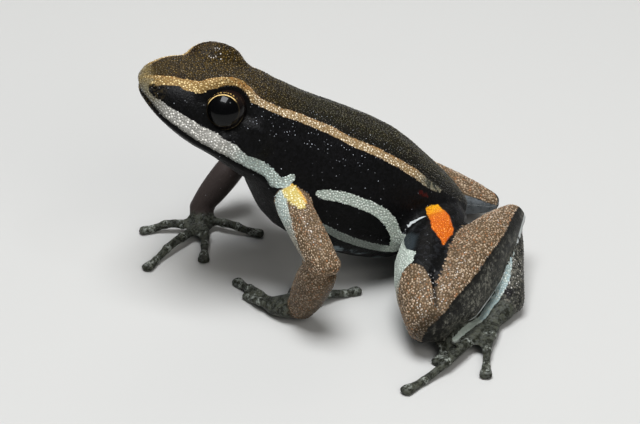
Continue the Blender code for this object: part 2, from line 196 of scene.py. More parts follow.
clear_selection()
copies = [cad_copy(name) for name in sorted(NODES)]
for piece in copies:
    piece.select_set(True)
bpy.context.view_layer.objects.active = copies[0]
bpy.ops.object.join()
skin = bpy.context.object
skin.name = "skin"
skin.data.name = "skin"
bpy.ops.object.mode_set(mode="EDIT")
bpy.ops.mesh.select_all(action="SELECT")
bpy.ops.mesh.remove_doubles(threshold=0.002)
bpy.ops.transform.shrink_fatten(value=SWELL)
bpy.ops.object.mode_set(mode="OBJECT")
remesh = skin.modifiers.new("one_surface", "REMESH")
remesh.mode = "VOXEL"
remesh.voxel_size = SQUARE
bpy.ops.object.modifier_apply(modifier="one_surface")
print("skin squares:", len(skin.data.polygons))

# %% [markdown]
# Closing the gaps leaves small sealed bubbles inside. They are never seen, but they would count as faces,
# so only the largest connected shell is kept.

# %% Keep the outer shell only


def edges_of(thing):
    """Pairs of corner numbers, one row for each edge."""
    flat = np.zeros(len(thing.data.edges) * 2, np.int32)
    thing.data.edges.foreach_get("vertices", flat)
    return flat.reshape(-1, 2)


def shell_numbers(thing):
    """A shell number for each corner, found by passing the lowest number along the edges."""
    pairs = edges_of(thing)
    label = np.arange(len(thing.data.vertices))
    while True:
        low = np.minimum(label[pairs[:, 0]], label[pairs[:, 1]])
        new = label.copy()
        np.minimum.at(new, pairs[:, 0], low)
        np.minimum.at(new, pairs[:, 1], low)
        new = new[new]
        if (new == label).all():
            return label
        label = new


def count(mask):
    """How many places of a mask are true."""
    return int(np.count_nonzero(mask))


labels = shell_numbers(skin)
names, counts = np.unique(labels, return_counts=True)
outer = names[counts.argmax()]
inner = labels != outer
skin.data.vertices.foreach_set("select", inner)
bpy.ops.object.mode_set(mode="EDIT")
bpy.ops.mesh.select_mode(type="VERT")
bpy.ops.object.mode_set(mode="OBJECT")
skin.data.vertices.foreach_set("select", inner)
bpy.ops.object.mode_set(mode="EDIT")
bpy.ops.mesh.delete(type="VERT")
bpy.ops.mesh.select_all(action="SELECT")
bpy.ops.transform.shrink_fatten(value=-SWELL)
bpy.ops.object.mode_set(mode="OBJECT")
print("shells found:", len(names), "corners removed:", count(inner), "kept:", len(skin.data.vertices))

# %% [markdown]
# The small squares still carry the flat faces of the solids. Moving every corner toward the middle of its
# neighbours rounds them off, but it also melts thin toes, so each pull inward is followed by one outward,
# and the digits get fewer rounds than the trunk. To know which corner is a digit, each one asks for the
# nearest face of the solids.

# %% Name the solid under each corner, then smooth


def solid_finder():
    """One search tree over all the solids' faces in millimetres, and the solid's name for each face."""
    corners, faces, owners = [], [], []
    for name in sorted(NODES):
        mesh = NODES[name].data
        start = len(corners)
        corners.extend(vertex.co / MM for vertex in mesh.vertices)
        faces.extend([start + number for number in polygon.vertices] for polygon in mesh.polygons)
        owners.extend([name] * len(mesh.polygons))
    return BVHTree.FromPolygons(corners, faces), owners


FINDER, FACE_OWNERS = solid_finder()


def owners_of(rows):
    """The name of the nearest solid for each corner."""
    found = [FINDER.find_nearest(Vector(row))[2] for row in rows]
    return np.array([FACE_OWNERS[number] for number in found])


def named(owners, *starts):
    """Which owners' names begin with one of these words."""
    return np.logical_or.reduce([np.char.startswith(owners, start) for start in starts])


def neighbour_mean(rows, pairs):
    """The mean of the neighbours of each corner, for any number of columns."""
    degree = np.bincount(pairs.ravel(), minlength=len(rows))[:, None]
    total = np.zeros_like(rows)
    for column in range(rows.shape[1]):
        total[:, column] += np.bincount(pairs[:, 0], rows[pairs[:, 1], column], len(rows))
        total[:, column] += np.bincount(pairs[:, 1], rows[pairs[:, 0], column], len(rows))
    return total / np.maximum(degree, 1)


def smoothed(rows, pairs, rounds, strength):
    """Pulls corners to their neighbours' mean and pushes them back, so that the volume stays."""
    for _ in range(rounds):
        for pull in (0.52, -0.54):
            rows = rows + strength[:, None] * pull * (neighbour_mean(rows, pairs) - rows)
    return rows


DIGIT_SOFTNESS = 0.3
ROUNDS_EVERYWHERE = 5
ROUNDS_ON_BODY = 24
owner = owners_of(coordinates(skin))
is_digit = named(owner, "finger", "toe")
softness = np.where(is_digit, DIGIT_SOFTNESS, 1.0)
rows = smoothed(coordinates(skin), edges_of(skin), ROUNDS_EVERYWHERE, softness)
softness = np.where(named(owner, "finger", "toe", "hand", "foot"), 0.0, 1.0)
rows = smoothed(rows, edges_of(skin), ROUNDS_ON_BODY, softness)
put(skin, rows)
print("skin box in mm:", rows.min(0).round(2), rows.max(0).round(2), "corners on digits:", count(is_digit))

# %% [markdown]
# Places on the trunk are easiest to say in the frog's own directions: how far forward of the vent, how
# far to the side and how far above its axis. The trunk is pitched up by 27 degrees, and both sides share
# one set of marks, because the side distance is taken without its sign.

# %% Measure places along, beside and above the trunk's axis
VENT = np.array([-0.2, 11.1, 4.5])
PITCH = math.radians(27)


def trunk_places(rows):
    """Columns along, aside and above for each place, in millimetres."""
    shifted = rows - VENT
    along = -shifted[:, 1] * math.cos(PITCH) + shifted[:, 2] * math.sin(PITCH)
    above = shifted[:, 1] * math.sin(PITCH) + shifted[:, 2] * math.cos(PITCH)
    return np.stack([along, shifted[:, 0], above], 1)


def fold_sides(places):
    """Trunk places with the side distance taken without its sign."""
    return places * [1, 0, 1] + np.abs(places) * [0, 1, 0]


def trunk_point(along, aside, above):
    """The place in the frame for a place told in the trunk's directions."""
    y = -along * math.cos(PITCH) + above * math.sin(PITCH)
    z = along * math.sin(PITCH) + above * math.cos(PITCH)
    return VENT + np.array([aside, y, z])


def eye_facts(name):
    """Centre and radius of an eye solid, in millimetres."""
    low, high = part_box(name)
    return np.array((low + high) / 2) / MM, (high - low).length / MM / math.sqrt(3) / 2


EYE_CENTRES = {"l": eye_facts("eye_l")[0], "r": eye_facts("eye_r")[0]}
EYE_RADIUS = eye_facts("eye_l")[1]
GAZES = {"l": np.array([0.882, -0.259, 0.394]), "r": np.array([-0.882, -0.259, 0.394])}
print("left eye at", EYE_CENTRES["l"].round(2), "radius", round(EYE_RADIUS, 2))

# %% [markdown]
# Lids, nostrils and the mouth line are finer than the squares. Instead of making the whole skin finer,
# only the faces round those places and on the digits are split in four.

# %% Split the faces round the eyes, nostrils, mouth and digits
NOSTRIL = (27.41, 1.73, 0.43)
MOUTH_LINE = (
    (16.0, -2.72), (17.0, -2.46), (17.8, -1.92), (19.6, -1.65), (21.5, -1.32), (23.6, -1.2), (25.8, -0.92),
    (27.0, -0.6), (28.6, -0.3)
)
HEAD_START = 16.2
EYE_REACH = 2.35
MOUTH_REACH = 0.32
NOSTRIL_REACH = 0.55


def value_at(line, along):
    """The second number of a line of (along, number) points, at each distance along."""
    return np.interp(along, [point[0] for point in line], [point[1] for point in line])


def middles(thing):
    """The middle of each face."""
    flat = np.zeros(len(thing.data.polygons) * 3, np.float32)
    thing.data.polygons.foreach_get("center", flat)
    return flat.reshape(-1, 3).astype(float)


def split_faces(thing, chosen):
    """Splits the chosen faces in four."""
    clear_selection()
    thing.select_set(True)
    bpy.context.view_layer.objects.active = thing
    bpy.ops.object.mode_set(mode="EDIT")
    bpy.ops.mesh.select_mode(type="FACE")
    bpy.ops.mesh.select_all(action="DESELECT")
    bpy.ops.object.mode_set(mode="OBJECT")
    thing.data.polygons.foreach_set("select", chosen)
    bpy.ops.object.mode_set(mode="EDIT")
    bpy.ops.mesh.subdivide(number_cuts=1, smoothness=0)
    bpy.ops.object.mode_set(mode="OBJECT")


centres = middles(skin)
trunk = trunk_places(centres)
on_head = trunk[:, 0] > HEAD_START
near_eye = np.zeros(len(centres), bool)
for centre in EYE_CENTRES.values():
    near_eye |= np.linalg.norm(centres - centre, axis=1) < EYE_REACH
near_mouth = on_head & (np.abs(trunk[:, 2] - value_at(MOUTH_LINE, trunk[:, 0])) < MOUTH_REACH)
mirrored = fold_sides(trunk)
near_nostril = np.linalg.norm(mirrored - NOSTRIL, axis=1) < NOSTRIL_REACH
face_owner = owners_of(centres)
on_digit = named(face_owner, "finger", "toe")
split_faces(skin, near_eye | near_mouth | near_nostril | on_digit)
triangles = sum(len(polygon.vertices) - 2 for polygon in skin.data.polygons)
print("split:", count(near_eye | near_mouth | near_nostril), "head and", count(on_digit), "digit faces")
print("triangles now:", triangles)

# %% [markdown]
# ### Lids
# A frog's eye is a ball in a ring of skin. Inside the opening the skin dives under the ball, at its edge
# it stands a little proud of it, and outside it falls back to the head. All of that depends only on the
# angle away from the direction of the gaze, so the corners are moved toward or away from the eye's
# centre.

# %% Open the lids round the eyes
OPENING = 86.0
OPENING_STEP = 5.0
LID_RISE = 0.12
LID_WIDTH = 12.0
UNDER_BALL = 0.35
LID_REACH = 0.9
LID_ROUNDS = 14
HALF_WAY = 0.5


def ramp(value, start, end):
    """A smooth rise from 0 at start to 1 at end."""
    share = np.clip((value - start) / (end - start), 0, 1)
    return share * share * (3 - 2 * share)


def around_eye(rows, side):
    """Distance from an eye's centre and angle from its gaze, for each corner."""
    gaze = GAZES[side] / np.linalg.norm(GAZES[side])
    offset = rows - EYE_CENTRES[side]
    reach = np.linalg.norm(offset, axis=1)
    return reach, np.degrees(np.arccos(np.clip(offset @ gaze / reach, -1, 1)))


def open_lids(rows, side):
    """Sinks the skin inside the opening and raises the lid's edge round it."""
    reach, angle = around_eye(rows, side)
    near = 1 - ramp(reach, EYE_RADIUS + 0.6, EYE_RADIUS + LID_REACH)
    outside = ramp(angle, OPENING - OPENING_STEP, OPENING)
    lid = EYE_RADIUS + LID_RISE * np.exp(-(((angle - OPENING - 5) / LID_WIDTH) ** 2))
    lid = np.where(angle < OPENING + 35, np.maximum(reach, lid), reach)
    wanted = outside * lid + (1 - outside) * (EYE_RADIUS - UNDER_BALL)
    wanted = reach + near * (wanted - reach)
    return EYE_CENTRES[side] + (rows - EYE_CENTRES[side]) * (wanted / reach)[:, None]


rows = coordinates(skin)
pairs = edges_of(skin)
for side in EYE_CENTRES:
    rows = open_lids(rows, side)
    reach, angle = around_eye(rows, side)
    loose = (1 - ramp(reach, EYE_RADIUS + 0.9, EYE_RADIUS + 1.5)) * ramp(angle, OPENING, OPENING + 10)
    for _ in range(LID_ROUNDS):
        rows = rows + HALF_WAY * loose[:, None] * (neighbour_mean(rows, pairs) - rows)
    rows = open_lids(rows, side)
put(skin, rows)
print("lids opened to", OPENING, "degrees")

# %% [markdown]
# ### Mouth and nostrils
# The mouth is a fine groove between two lips, and each nostril is a small pit with a raised rim. Both are
# pressed into the skin along its normals.

# %% Press in the mouth line and the nostrils
MOUTH_DEPTH = 0.16
MOUTH_HALF = 0.10
LIP_RISE = 0.05
LIP_OFFSET = 0.30
LIP_HALF = 0.16
NOSTRIL_DEPTH = 0.26
NOSTRIL_HALF = 0.17
NOSTRIL_RIM = 0.34
NOSTRIL_RIM_HALF = 0.11
NOSTRIL_RIM_RISE = 0.05
rows = coordinates(skin)
outward = directions(skin)
trunk = trunk_places(rows)
gap = trunk[:, 2] - value_at(MOUTH_LINE, trunk[:, 0])
mouth_share = ramp(trunk[:, 0], 16.6, 17.6)
press = -MOUTH_DEPTH * np.exp(-((gap / MOUTH_HALF) ** 2))
press += LIP_RISE * np.exp(-(((np.abs(gap) - LIP_OFFSET) / LIP_HALF) ** 2))
press *= mouth_share
mirrored = fold_sides(trunk)
reach = np.linalg.norm(mirrored - NOSTRIL, axis=1)
rim = NOSTRIL_RIM_RISE * np.exp(-(((reach - NOSTRIL_RIM) / NOSTRIL_RIM_HALF) ** 2))
press += rim - NOSTRIL_DEPTH * np.exp(-((reach / NOSTRIL_HALF) ** 2))
put(skin, rows + outward * press[:, None])
print("deepest press in mm:", round(float(press.min()), 2))

# %% [markdown]
# ### Eardrum and digits
# The eardrum is a faint ring behind the eye. The digits swell at their joints and end in round discs,
# each with two small shiny pads on top that a groove parts, as in all frogs of this family. The swellings
# follow the line from the paw to the tip of each digit.

# %% Soften the eardrum and shape the digits
EARDRUM = (19.8, 4.85, 0.5)
EARDRUM_RADIUS = 0.85
DRUM_ROUNDS = 25
DRUM_RIM_RISE = 0.035
DRUM_DEPTH = 0.03
PAWS = {
    "finger_l": ((5.9, -5.3), ((4.6, 1.2), (3.0, -3.0), (1.6, -7.45), (3.7, -7.0))),
    "finger_r": ((-6.4, -9.0), ((-5.0, -4.65), (-2.0, -9.5), (-1.7, -13.9), (-7.2, -13.55))),
    "toe_l": ((11.0, 9.6), ((9.7, 8.0), (11.6, 7.3), (15.0, 5.0), (18.1, 2.0), (17.3, 8.0))),
    "toe_r": ((-10.5, 9.7), ((-10.9, 8.1), (-12.8, 7.5), (-15.5, 5.3), (-18.1, 2.4), (-17.0, 8.4))),
}
DISC_BACK = 0.30
DISC_SPREAD = 0.13
PAD_SIDE = 0.21
PAD_RISE = 0.05
JOINT_PLACES = (0.35, 0.62, 0.84)
JOINT_SWELL = 0.05
JOINT_HALF = 0.22
DISC_REACH = 0.42
joint_share = np.zeros(len(skin.data.vertices))
rows = coordinates(skin)
outward = directions(skin)
pairs = edges_of(skin)
trunk = trunk_places(rows)
mirrored = fold_sides(trunk)
from_drum = np.linalg.norm(mirrored - EARDRUM, axis=1)
loose = 1 - ramp(from_drum, 1.2, 2.0)
for _ in range(DRUM_ROUNDS):
    rows = rows + HALF_WAY * loose[:, None] * (neighbour_mean(rows, pairs) - rows)
drum = DRUM_RIM_RISE * np.exp(-(((from_drum - EARDRUM_RADIUS) / 0.16) ** 2))
drum -= DRUM_DEPTH * (1 - ramp(from_drum, 0.4, 0.75))
rows = rows + outward * drum[:, None]
owner = owners_of(rows)
for key, (root, tips) in PAWS.items():
    kind, side = key.split("_")
    for number, tip in enumerate(tips):
        mine = owner == f"{kind}_{number + 1}_{side}"
        ahead = np.array(tip) - root
        full = np.linalg.norm(ahead)
        ahead = ahead / full
        beside = np.array([-ahead[1], ahead[0]])
        flat = rows[:, :2] - root
        along = flat @ ahead
        swell = sum(np.exp(-(((along - place * full) / JOINT_HALF) ** 2)) for place in JOINT_PLACES)
        swell = swell * JOINT_SWELL
        middle = np.array(tip) - ahead * DISC_BACK
        offset = rows[:, :2] - middle
        near = np.exp(-(((offset**2).sum(1)) / DISC_REACH**2))
        across = offset @ beside
        pads = np.exp(-(((np.abs(across) - PAD_SIDE) / 0.11) ** 2)) - 0.9 * np.exp(-((across / 0.07) ** 2))
        top = (outward[:, 2] > 0.2) * near * (np.abs(offset @ ahead) < 0.35)
        joint_share = np.where(mine, np.maximum(swell / JOINT_SWELL, near), joint_share)
        sideways = np.stack([offset[:, 0], offset[:, 1], np.zeros(len(rows))], 1) / 0.5
        move = outward * (swell + PAD_RISE * pads * top)[:, None] + sideways * (DISC_SPREAD * near)[:, None]
        rows = rows + np.where(mine[:, None], move, 0)
rows[:, 2] = np.maximum(rows[:, 2], 0.0)
put(skin, rows)
print("digits shaped, lowest corner:", round(float(rows[:, 2].min()), 3))

# %% [markdown]
# ## Where the markings lie
# The bright stripes and patches could be painted on, but paint fixed to corners is as coarse as the
# squares. Each corner instead stores how many millimetres it lies inside a marking, and below zero
# outside it. The material cuts at zero, so the edge is sharp between corners too, and it can be made
# ragged, as it is on the frog's grains. Every stripe is told by the places it passes through and half its
# width there.

# %% Helpers that measure the distance inside a stripe or a patch
FAR = -5.0
LINE_REACH = 0.42


def from_segment(rows, first, last):
    """How far along a segment the nearest point of it lies, from 0 to 1, and the offset from that point."""
    step = last - first
    share = np.clip(((rows - first) @ step) / (step @ step), 0, 1)
    return share, rows - first - share[:, None] * step


def inside_stripe(rows, line):
    """Millimetres inside a stripe. Each point of its middle line is (x, y, z, half width)."""
    best = np.full(len(rows), -1e3)
    for start, end in zip(line[:-1], line[1:]):
        share, offset = from_segment(rows, np.array(start[:3]), np.array(end[:3]))
        half = start[3] + share * (end[3] - start[3])
        best = np.maximum(best, half - np.linalg.norm(offset, axis=1))
    return best


def beside_line(rows, line, aside):
    """Signed millimetres beside a thin line, and half its width there. Two numbers keep a thin line whole."""
    best, beside, half = np.full(len(rows), 1e3), np.zeros(len(rows)), np.full(len(rows), -1.0)
    for start, end in zip(line[:-1], line[1:]):
        first, last = np.array(start[:3]), np.array(end[:3])
        step = last - first
        share, offset = from_segment(rows, first, last)
        away = np.linalg.norm(offset, axis=1)
        beyond = np.abs(offset @ step) / np.linalg.norm(step)
        nearer = away < best
        beside = np.where(nearer, offset @ np.array(aside, float), beside)
        half = np.where(nearer, start[3] + share * (end[3] - start[3]) - beyond, half)
        best = np.where(nearer, away, best)
    return beside, np.where(best < LINE_REACH, half, -1.0)


def inside_patch(flat, outline):
    """Millimetres inside a closed outline, for places in a plane."""
    corners = np.array(outline, float)
    away = np.full(len(flat), 1e3)
    crossings = np.zeros(len(flat), int)
    for first, last in zip(corners, np.roll(corners, -1, axis=0)):
        step = last - first
        away = np.minimum(away, np.linalg.norm(from_segment(flat, first, last)[1], axis=1))
        spans = (first[1] > flat[:, 1]) != (last[1] > flat[:, 1])
        rise = np.where(step[1] == 0, 1e-9, step[1])
        crossings += spans & (flat[:, 0] < first[0] + (flat[:, 1] - first[1]) * step[0] / rise)
    return np.where(crossings % 2 == 1, away, -away)


print("stripe at its middle:", inside_stripe(np.zeros((1, 3)), ((-1, 0, 0, 0.5), (1, 0, 0, 0.5)))[0])

# %% [markdown]
# The gold back stripe runs from the snout over the eye to the hip. What lies above it is the brown back,
# and what lies below it is the black flank. Above and below are told by the angle round the trunk's axis,
# because the back curves.

# %% Measure the trunk's stripes
BACK_STRIPE = (
    (28.15, 0.20, 0.10, 0.42), (27.80, 0.85, 0.42, 0.50), (27.20, 1.30, 0.85, 0.44),
    (26.70, 1.62, 1.22, 0.42), (25.95, 2.00, 1.66, 0.36), (25.10, 2.38, 1.95, 0.44),
    (24.40, 2.85, 2.40, 0.44), (23.60, 3.02, 3.05, 0.36), (22.90, 3.15, 3.45, 0.40),
    (22.15, 3.25, 3.45, 0.42), (21.20, 3.15, 3.00, 0.46), (19.93, 2.96, 2.70, 0.36),
    (18.86, 3.00, 2.60, 0.34), (16.67, 2.62, 2.48, 0.37), (14.13, 2.66, 2.37, 0.36),
    (12.47, 2.98, 2.22, 0.36), (10.30, 3.00, 2.14, 0.38), (8.05, 3.02, 1.85, 0.36),
    (6.25, 2.82, 1.40, 0.38), (5.00, 2.75, 0.98, 0.34), (3.90, 2.42, 0.68, 0.20),
)
LIP_TOP = (
    (15.8, -1.0), (16.2, -1.0), (17.0, -1.25), (17.9, -0.90), (19.2, -0.69), (20.0, -0.66), (21.0, -0.24),
    (21.9, -0.18), (23.0, -0.09), (24.3, 0.06), (25.4, 0.11), (26.9, 0.12), (27.5, 0.04), (28.1, -0.02),
    (28.8, -0.10)
)
STRIPE_CORNERS = (
    ((25.60, 2.50, 1.75, 0.28), (24.85, 2.80, 1.95, 0.33), (24.45, 3.15, 2.05, 0.28)),
    (
        (22.70, 3.05, 3.50, 0.40), (22.10, 3.05, 3.42, 0.44), (21.50, 3.10, 3.25, 0.44),
        (20.90, 3.00, 2.95, 0.40)
    ),
)
FAR_TRIM = 0.12
SNOUT_FRONT = ((-0.6, 2.60), (0.00, 2.20), (0.10, 1.75), (0.45, 1.43), (0.70, 1.30))
RED_SPOT = ((5.75, 3.50, 0.42, 0.12), (5.30, 3.40, 0.34, 0.16), (4.90, 3.28, 0.26, 0.08))
LIP_END = (
    (18.6, 4.95, -1.25, 0.42), (17.6, 5.00, -1.55, 0.42), (16.9, 5.12, -1.85, 0.42),
    (16.3, 5.20, -1.60, 0.38), (16.05, 5.15, -1.10, 0.26)
)
SIDE_STRIPE = (
    (13.70, 5.30, -1.55, 0.22), (13.20, 5.30, -1.48, 0.38), (12.20, 5.27, -1.26, 0.42),
    (11.00, 5.18, -1.22, 0.42), (9.20, 5.02, -1.36, 0.42), (8.10, 4.93, -1.62, 0.46),
    (7.20, 4.75, -2.10, 0.46), (6.30, 4.50, -2.95, 0.44), (5.85, 4.30, -3.90, 0.42),
)
LOW_STRIPE = (
    (12.8, 5.2, -3.7, 0.12), (11.9, 5.32, -3.98, 0.28), (10.5, 5.15, -4.30, 0.34), (8.7, 4.89, -4.44, 0.34),
    (7.3, 4.6, -4.48, 0.34), (5.5, 4.07, -4.40, 0.36)
)
AXIS_DROP = 1.0
STRIPE_BACK, STRIPE_FRONT = 4.2, 27.4
FAR_HEAD_START = 21.5
BELLY_TOP, BELLY_SLOPE = -4.9, 0.12
LIP_START = 15.6
LIP_LINE_START = 17.0
SNOUT_START = 26.8
RING_OUTSIDE = 1.98
rows = coordinates(skin)
trunk = trunk_places(rows)
folded = fold_sides(trunk)
round_angle = np.arctan2(folded[:, 2] + AXIS_DROP, folded[:, 1])
forward = BACK_STRIPE[::-1]
stripe_angle = [(along, math.atan2(above + AXIS_DROP, aside)) for along, aside, above, _ in forward]
stripe_reach = [(along, math.hypot(above + AXIS_DROP, aside)) for along, aside, above, _ in forward]
above_stripe = round_angle - value_at(stripe_angle, folded[:, 0])
above_stripe *= value_at(stripe_reach, folded[:, 0])
stripe_half = value_at([(point[0], point[3]) for point in forward], folded[:, 0])
stripe_ends = np.minimum(folded[:, 0] - STRIPE_BACK, STRIPE_FRONT - folded[:, 0])
stripe = np.minimum(stripe_half - np.abs(above_stripe), stripe_ends)
stripe = np.maximum(stripe, inside_stripe(folded, BACK_STRIPE))
for line in STRIPE_CORNERS:
    stripe = np.maximum(stripe, inside_stripe(folded, line))
far_head = (rows[:, 0] < 0) & (folded[:, 0] > FAR_HEAD_START)
stripe = np.where(far_head, np.minimum(stripe, FAR_TRIM - above_stripe), stripe)
over_mouth = folded[:, 2] - value_at(MOUTH_LINE, folded[:, 0]) + 0.02
lip = np.minimum(value_at(LIP_TOP, folded[:, 0]) - folded[:, 2], over_mouth)
lip = np.minimum(lip, folded[:, 0] - LIP_LINE_START)
front = value_at(SNOUT_FRONT, folded[:, 2]) - folded[:, 1]
front = np.minimum(front, folded[:, 0] - SNOUT_START)
front = np.minimum(front, over_mouth)
front = np.minimum(front, 0.1 - above_stripe)
lip = np.maximum(lip, front)
lip = np.maximum(lip, inside_stripe(folded, LIP_END))
lip = np.where(folded[:, 0] > LIP_START, lip, FAR)
side_stripe = np.maximum(inside_stripe(folded, SIDE_STRIPE), inside_stripe(folded, LOW_STRIPE))
belly = BELLY_TOP - folded[:, 2] + BELLY_SLOPE * (folded[:, 0] - 6)
from_eyes = [np.linalg.norm(rows - centre, axis=1) for centre in EYE_CENTRES.values()]
eye_ring = RING_OUTSIDE - np.min(from_eyes, axis=0)
print("corners in the back stripe:", count(stripe > 0), "lip:", count(lip > 0))
print("corners in the side stripe:", count(side_stripe > 0))

# %% [markdown]
# A limb's markings are told along the limb, so that one set serves the left and the right side, which are
# bent differently. Each limb bone has its own directions: along it, up from it and across it.

# %% Measure places along, up from and across a limb
JOINTS = {
    "l": {
        "shoulder": (4.2, -4.1, 9.3), "elbow": (10.2, -2.4, 6.6),
        "wrist": (7.5, -3.5, 1.3), "palm": (5.9, -5.3, 0.6),
        "hip": (2.5, 8.3, 3.9), "knee": (13.1, 4.8, 2.6), "heel": (2.8, 13.4, 4.1),
        "ankle": (9.5, 11.6, 1.2), "foot": (11.0, 9.6, 0.55),
    },
    "r": {
        "shoulder": (-4.3, -4.2, 9.4), "elbow": (-9.3, -5.3, 5.0),
        "wrist": (-7.7, -9.0, 1.5), "palm": (-6.4, -9.0, 0.5),
        "hip": (-2.9, 8.3, 3.9), "knee": (-12.8, 4.9, 2.2), "heel": (-3.0, 13.1, 2.25),
        "ankle": (-8.4, 11.3, 1.0), "foot": (-10.5, 9.7, 0.5),
    },
}
BONES = {
    "upper_arm": ("shoulder", "elbow", (0, 0, 1)), "forearm": ("elbow", "wrist", (1, 0, 0)),
    "hand": ("wrist", "palm", (0, 0, 1)), "thigh": ("hip", "knee", (0, 0, 1)),
    "shank": ("knee", "heel", (0, 0, 1)), "tarsus": ("heel", "ankle", (0, 0, 1)),
    "foot": ("ankle", "foot", (0, 0, 1)),
}
THINNER = {("upper_arm", "r"): 0.8, ("forearm", "r"): 0.8, ("shank", "r"): 0.8}


def limb_places(rows, bone, side):
    """Columns along, up and across, on the left limb's scale."""
    first, last, upward = BONES[bone]
    start, end = np.array(JOINTS[side][first]), np.array(JOINTS[side][last])
    full = np.linalg.norm(np.array(JOINTS["l"][last]) - JOINTS["l"][first])
    turn = 1 if side == "l" else -1
    axis = (end - start) / np.linalg.norm(end - start)
    up = np.array(upward, float) * (turn if upward[0] else 1)
    up -= axis * (up @ axis)
    up /= np.linalg.norm(up)
    across = np.cross(up, axis) * turn
    shifted = np.asarray(rows, float) - start
    thin = THINNER.get((bone, side), 1.0)
    along = shifted @ axis / np.linalg.norm(end - start) * full
    return np.stack([along, shifted @ up / thin, shifted @ across / thin], 1)


def around_limb(places):
    """Degrees round a limb, and how many millimetres one degree spans there."""
    around = np.degrees(np.arctan2(places[:, 1], -places[:, 2]))
    return around, np.hypot(places[:, 1], places[:, 2]) * math.pi / 180


def left_line(bone, line):
    """A stripe told in the frame on the left limb, turned into that limb's own directions."""
    places = limb_places([point[:3] for point in line], bone, "l")
    return [(*place, point[3]) for place, point in zip(places, line)]


for bone in BONES:
    print(bone, "ends at", limb_places([JOINTS["l"][BONES[bone][1]]], bone, "l").round(2).tolist())

# %% Measure the markings on arms and legs
FLASH_OUTLINE = (
    (1.25, -1.28), (0.90, -0.95), (0.45, -0.40), (0.90, -0.05), (1.30, 0.25), (1.80, 0.55), (2.60, 0.78),
    (3.10, 1.00), (4.00, 0.92), (5.10, 0.62), (5.92, 0.44), (5.40, 0.25), (4.90, -0.12), (4.30, -0.52),
    (3.10, -0.75), (2.10, -1.02),
)
ARM_PATCH_OUTLINE = (
    (0.35, -0.50), (0.25, -0.15), (0.80, 0.38), (1.60, 0.62), (2.30, 0.52), (2.75, 0.10), (2.60, -0.35),
    (2.00, -0.62), (1.20, -0.72), (0.60, -0.68)
)
ARM_EDGE = (
    (-0.7, 0.55, -0.95, 0.85), (0.3, 0.50, -1.00, 0.85), (1.3, 0.35, -1.10, 0.82), (2.6, 0.05, -1.20, 0.82),
    (3.9, -0.20, -1.20, 0.68), (5.2, -0.30, -1.20, 0.45), (6.0, -0.35, -1.15, 0.15)
)
THIGH_PALE = (
    (2.6, 14), (3.2, 28), (5.9, 46), (6.6, 52), (7.1, 64), (8.1, 61), (8.6, 42), (9.4, 30), (10.0, 18),
    (10.7, 0), (11.3, -25)
)
THIGH_UNDER = 75
SHOULDER_REACH, HIP_REACH = 2.6, 4.2
ARM_BROWN_LOW = 0.75
# A thin white line along the thigh's front edge, painted as a highlight.
THIGH_RIM_HIGHLIGHT = (
    (4.43, 4.42, 4.48, 0.09), (4.52, 4.52, 4.83, 0.10), (4.57, 4.69, 5.06, 0.10), (4.56, 4.96, 5.33, 0.09),
    (4.49, 5.24, 5.56, 0.10), (4.50, 5.54, 5.76, 0.09), (4.48, 5.87, 5.88, 0.08), (4.42, 6.16, 5.95, 0.07),
    (4.36, 6.43, 5.99, 0.04),
)
SLATE_PATCH = ((6.2, 4.6, 5.4, 0.55), (7.3, 4.55, 5.75, 0.75), (8.3, 4.4, 5.9, 0.45))
THIGH_SPLIT = ((-2.4, 8.9), (-1.95, 8.3), (-1.25, 8.3), (-0.66, 8.75), (-0.07, 9.6), (0.3, 10.3))
SHANK_SPLIT = ((-0.2, 42), (1.8, 47), (4.0, 46), (6.5, 51), (9.4, 51), (13.3, 64))
SHANK_LINE = ((0.0, -26), (9.0, -24), (11.0, -8), (12.7, 5), (13.8, 10))
SHANK_LINE_HALF = 12.0
FOOT_LINE = (
    (6.2, 12.9, 3.9, 0.14), (7.2, 12.35, 3.5, 0.20), (7.75, 12.02, 3.2, 0.27), (8.5, 11.6, 2.85, 0.36),
    (9.4, 10.9, 2.15, 0.44), (10.2, 10.05, 1.55, 0.38), (11.0, 9.3, 1.15, 0.32), (11.8, 8.4, 1.05, 0.27),
    (12.8, 7.25, 1.0, 0.22), (14.0, 6.0, 0.9, 0.16), (16.5, 3.6, 0.75, 0.05),
)
FOOT_SPOTS = (
    ((9.2, 10.9, 2.0, 0.28), (9.9, 11.5, 2.15, 0.32)), ((10.9, 11.3, 1.5, 0.15), (10.6, 10.6, 1.7, 0.18))
)
LIMB_NAMES = owners_of(rows)
pale = side_stripe.copy()
flash = np.full(len(rows), FAR)
yellow = np.zeros(len(rows))
brown = np.full(len(rows), FAR)
slate = np.full(len(rows), FAR)


def on_limb(bones, side):
    """Which corners lie on these limb parts of one side."""
    return np.isin(LIMB_NAMES, [f"{bone}_{side}" for bone in bones])


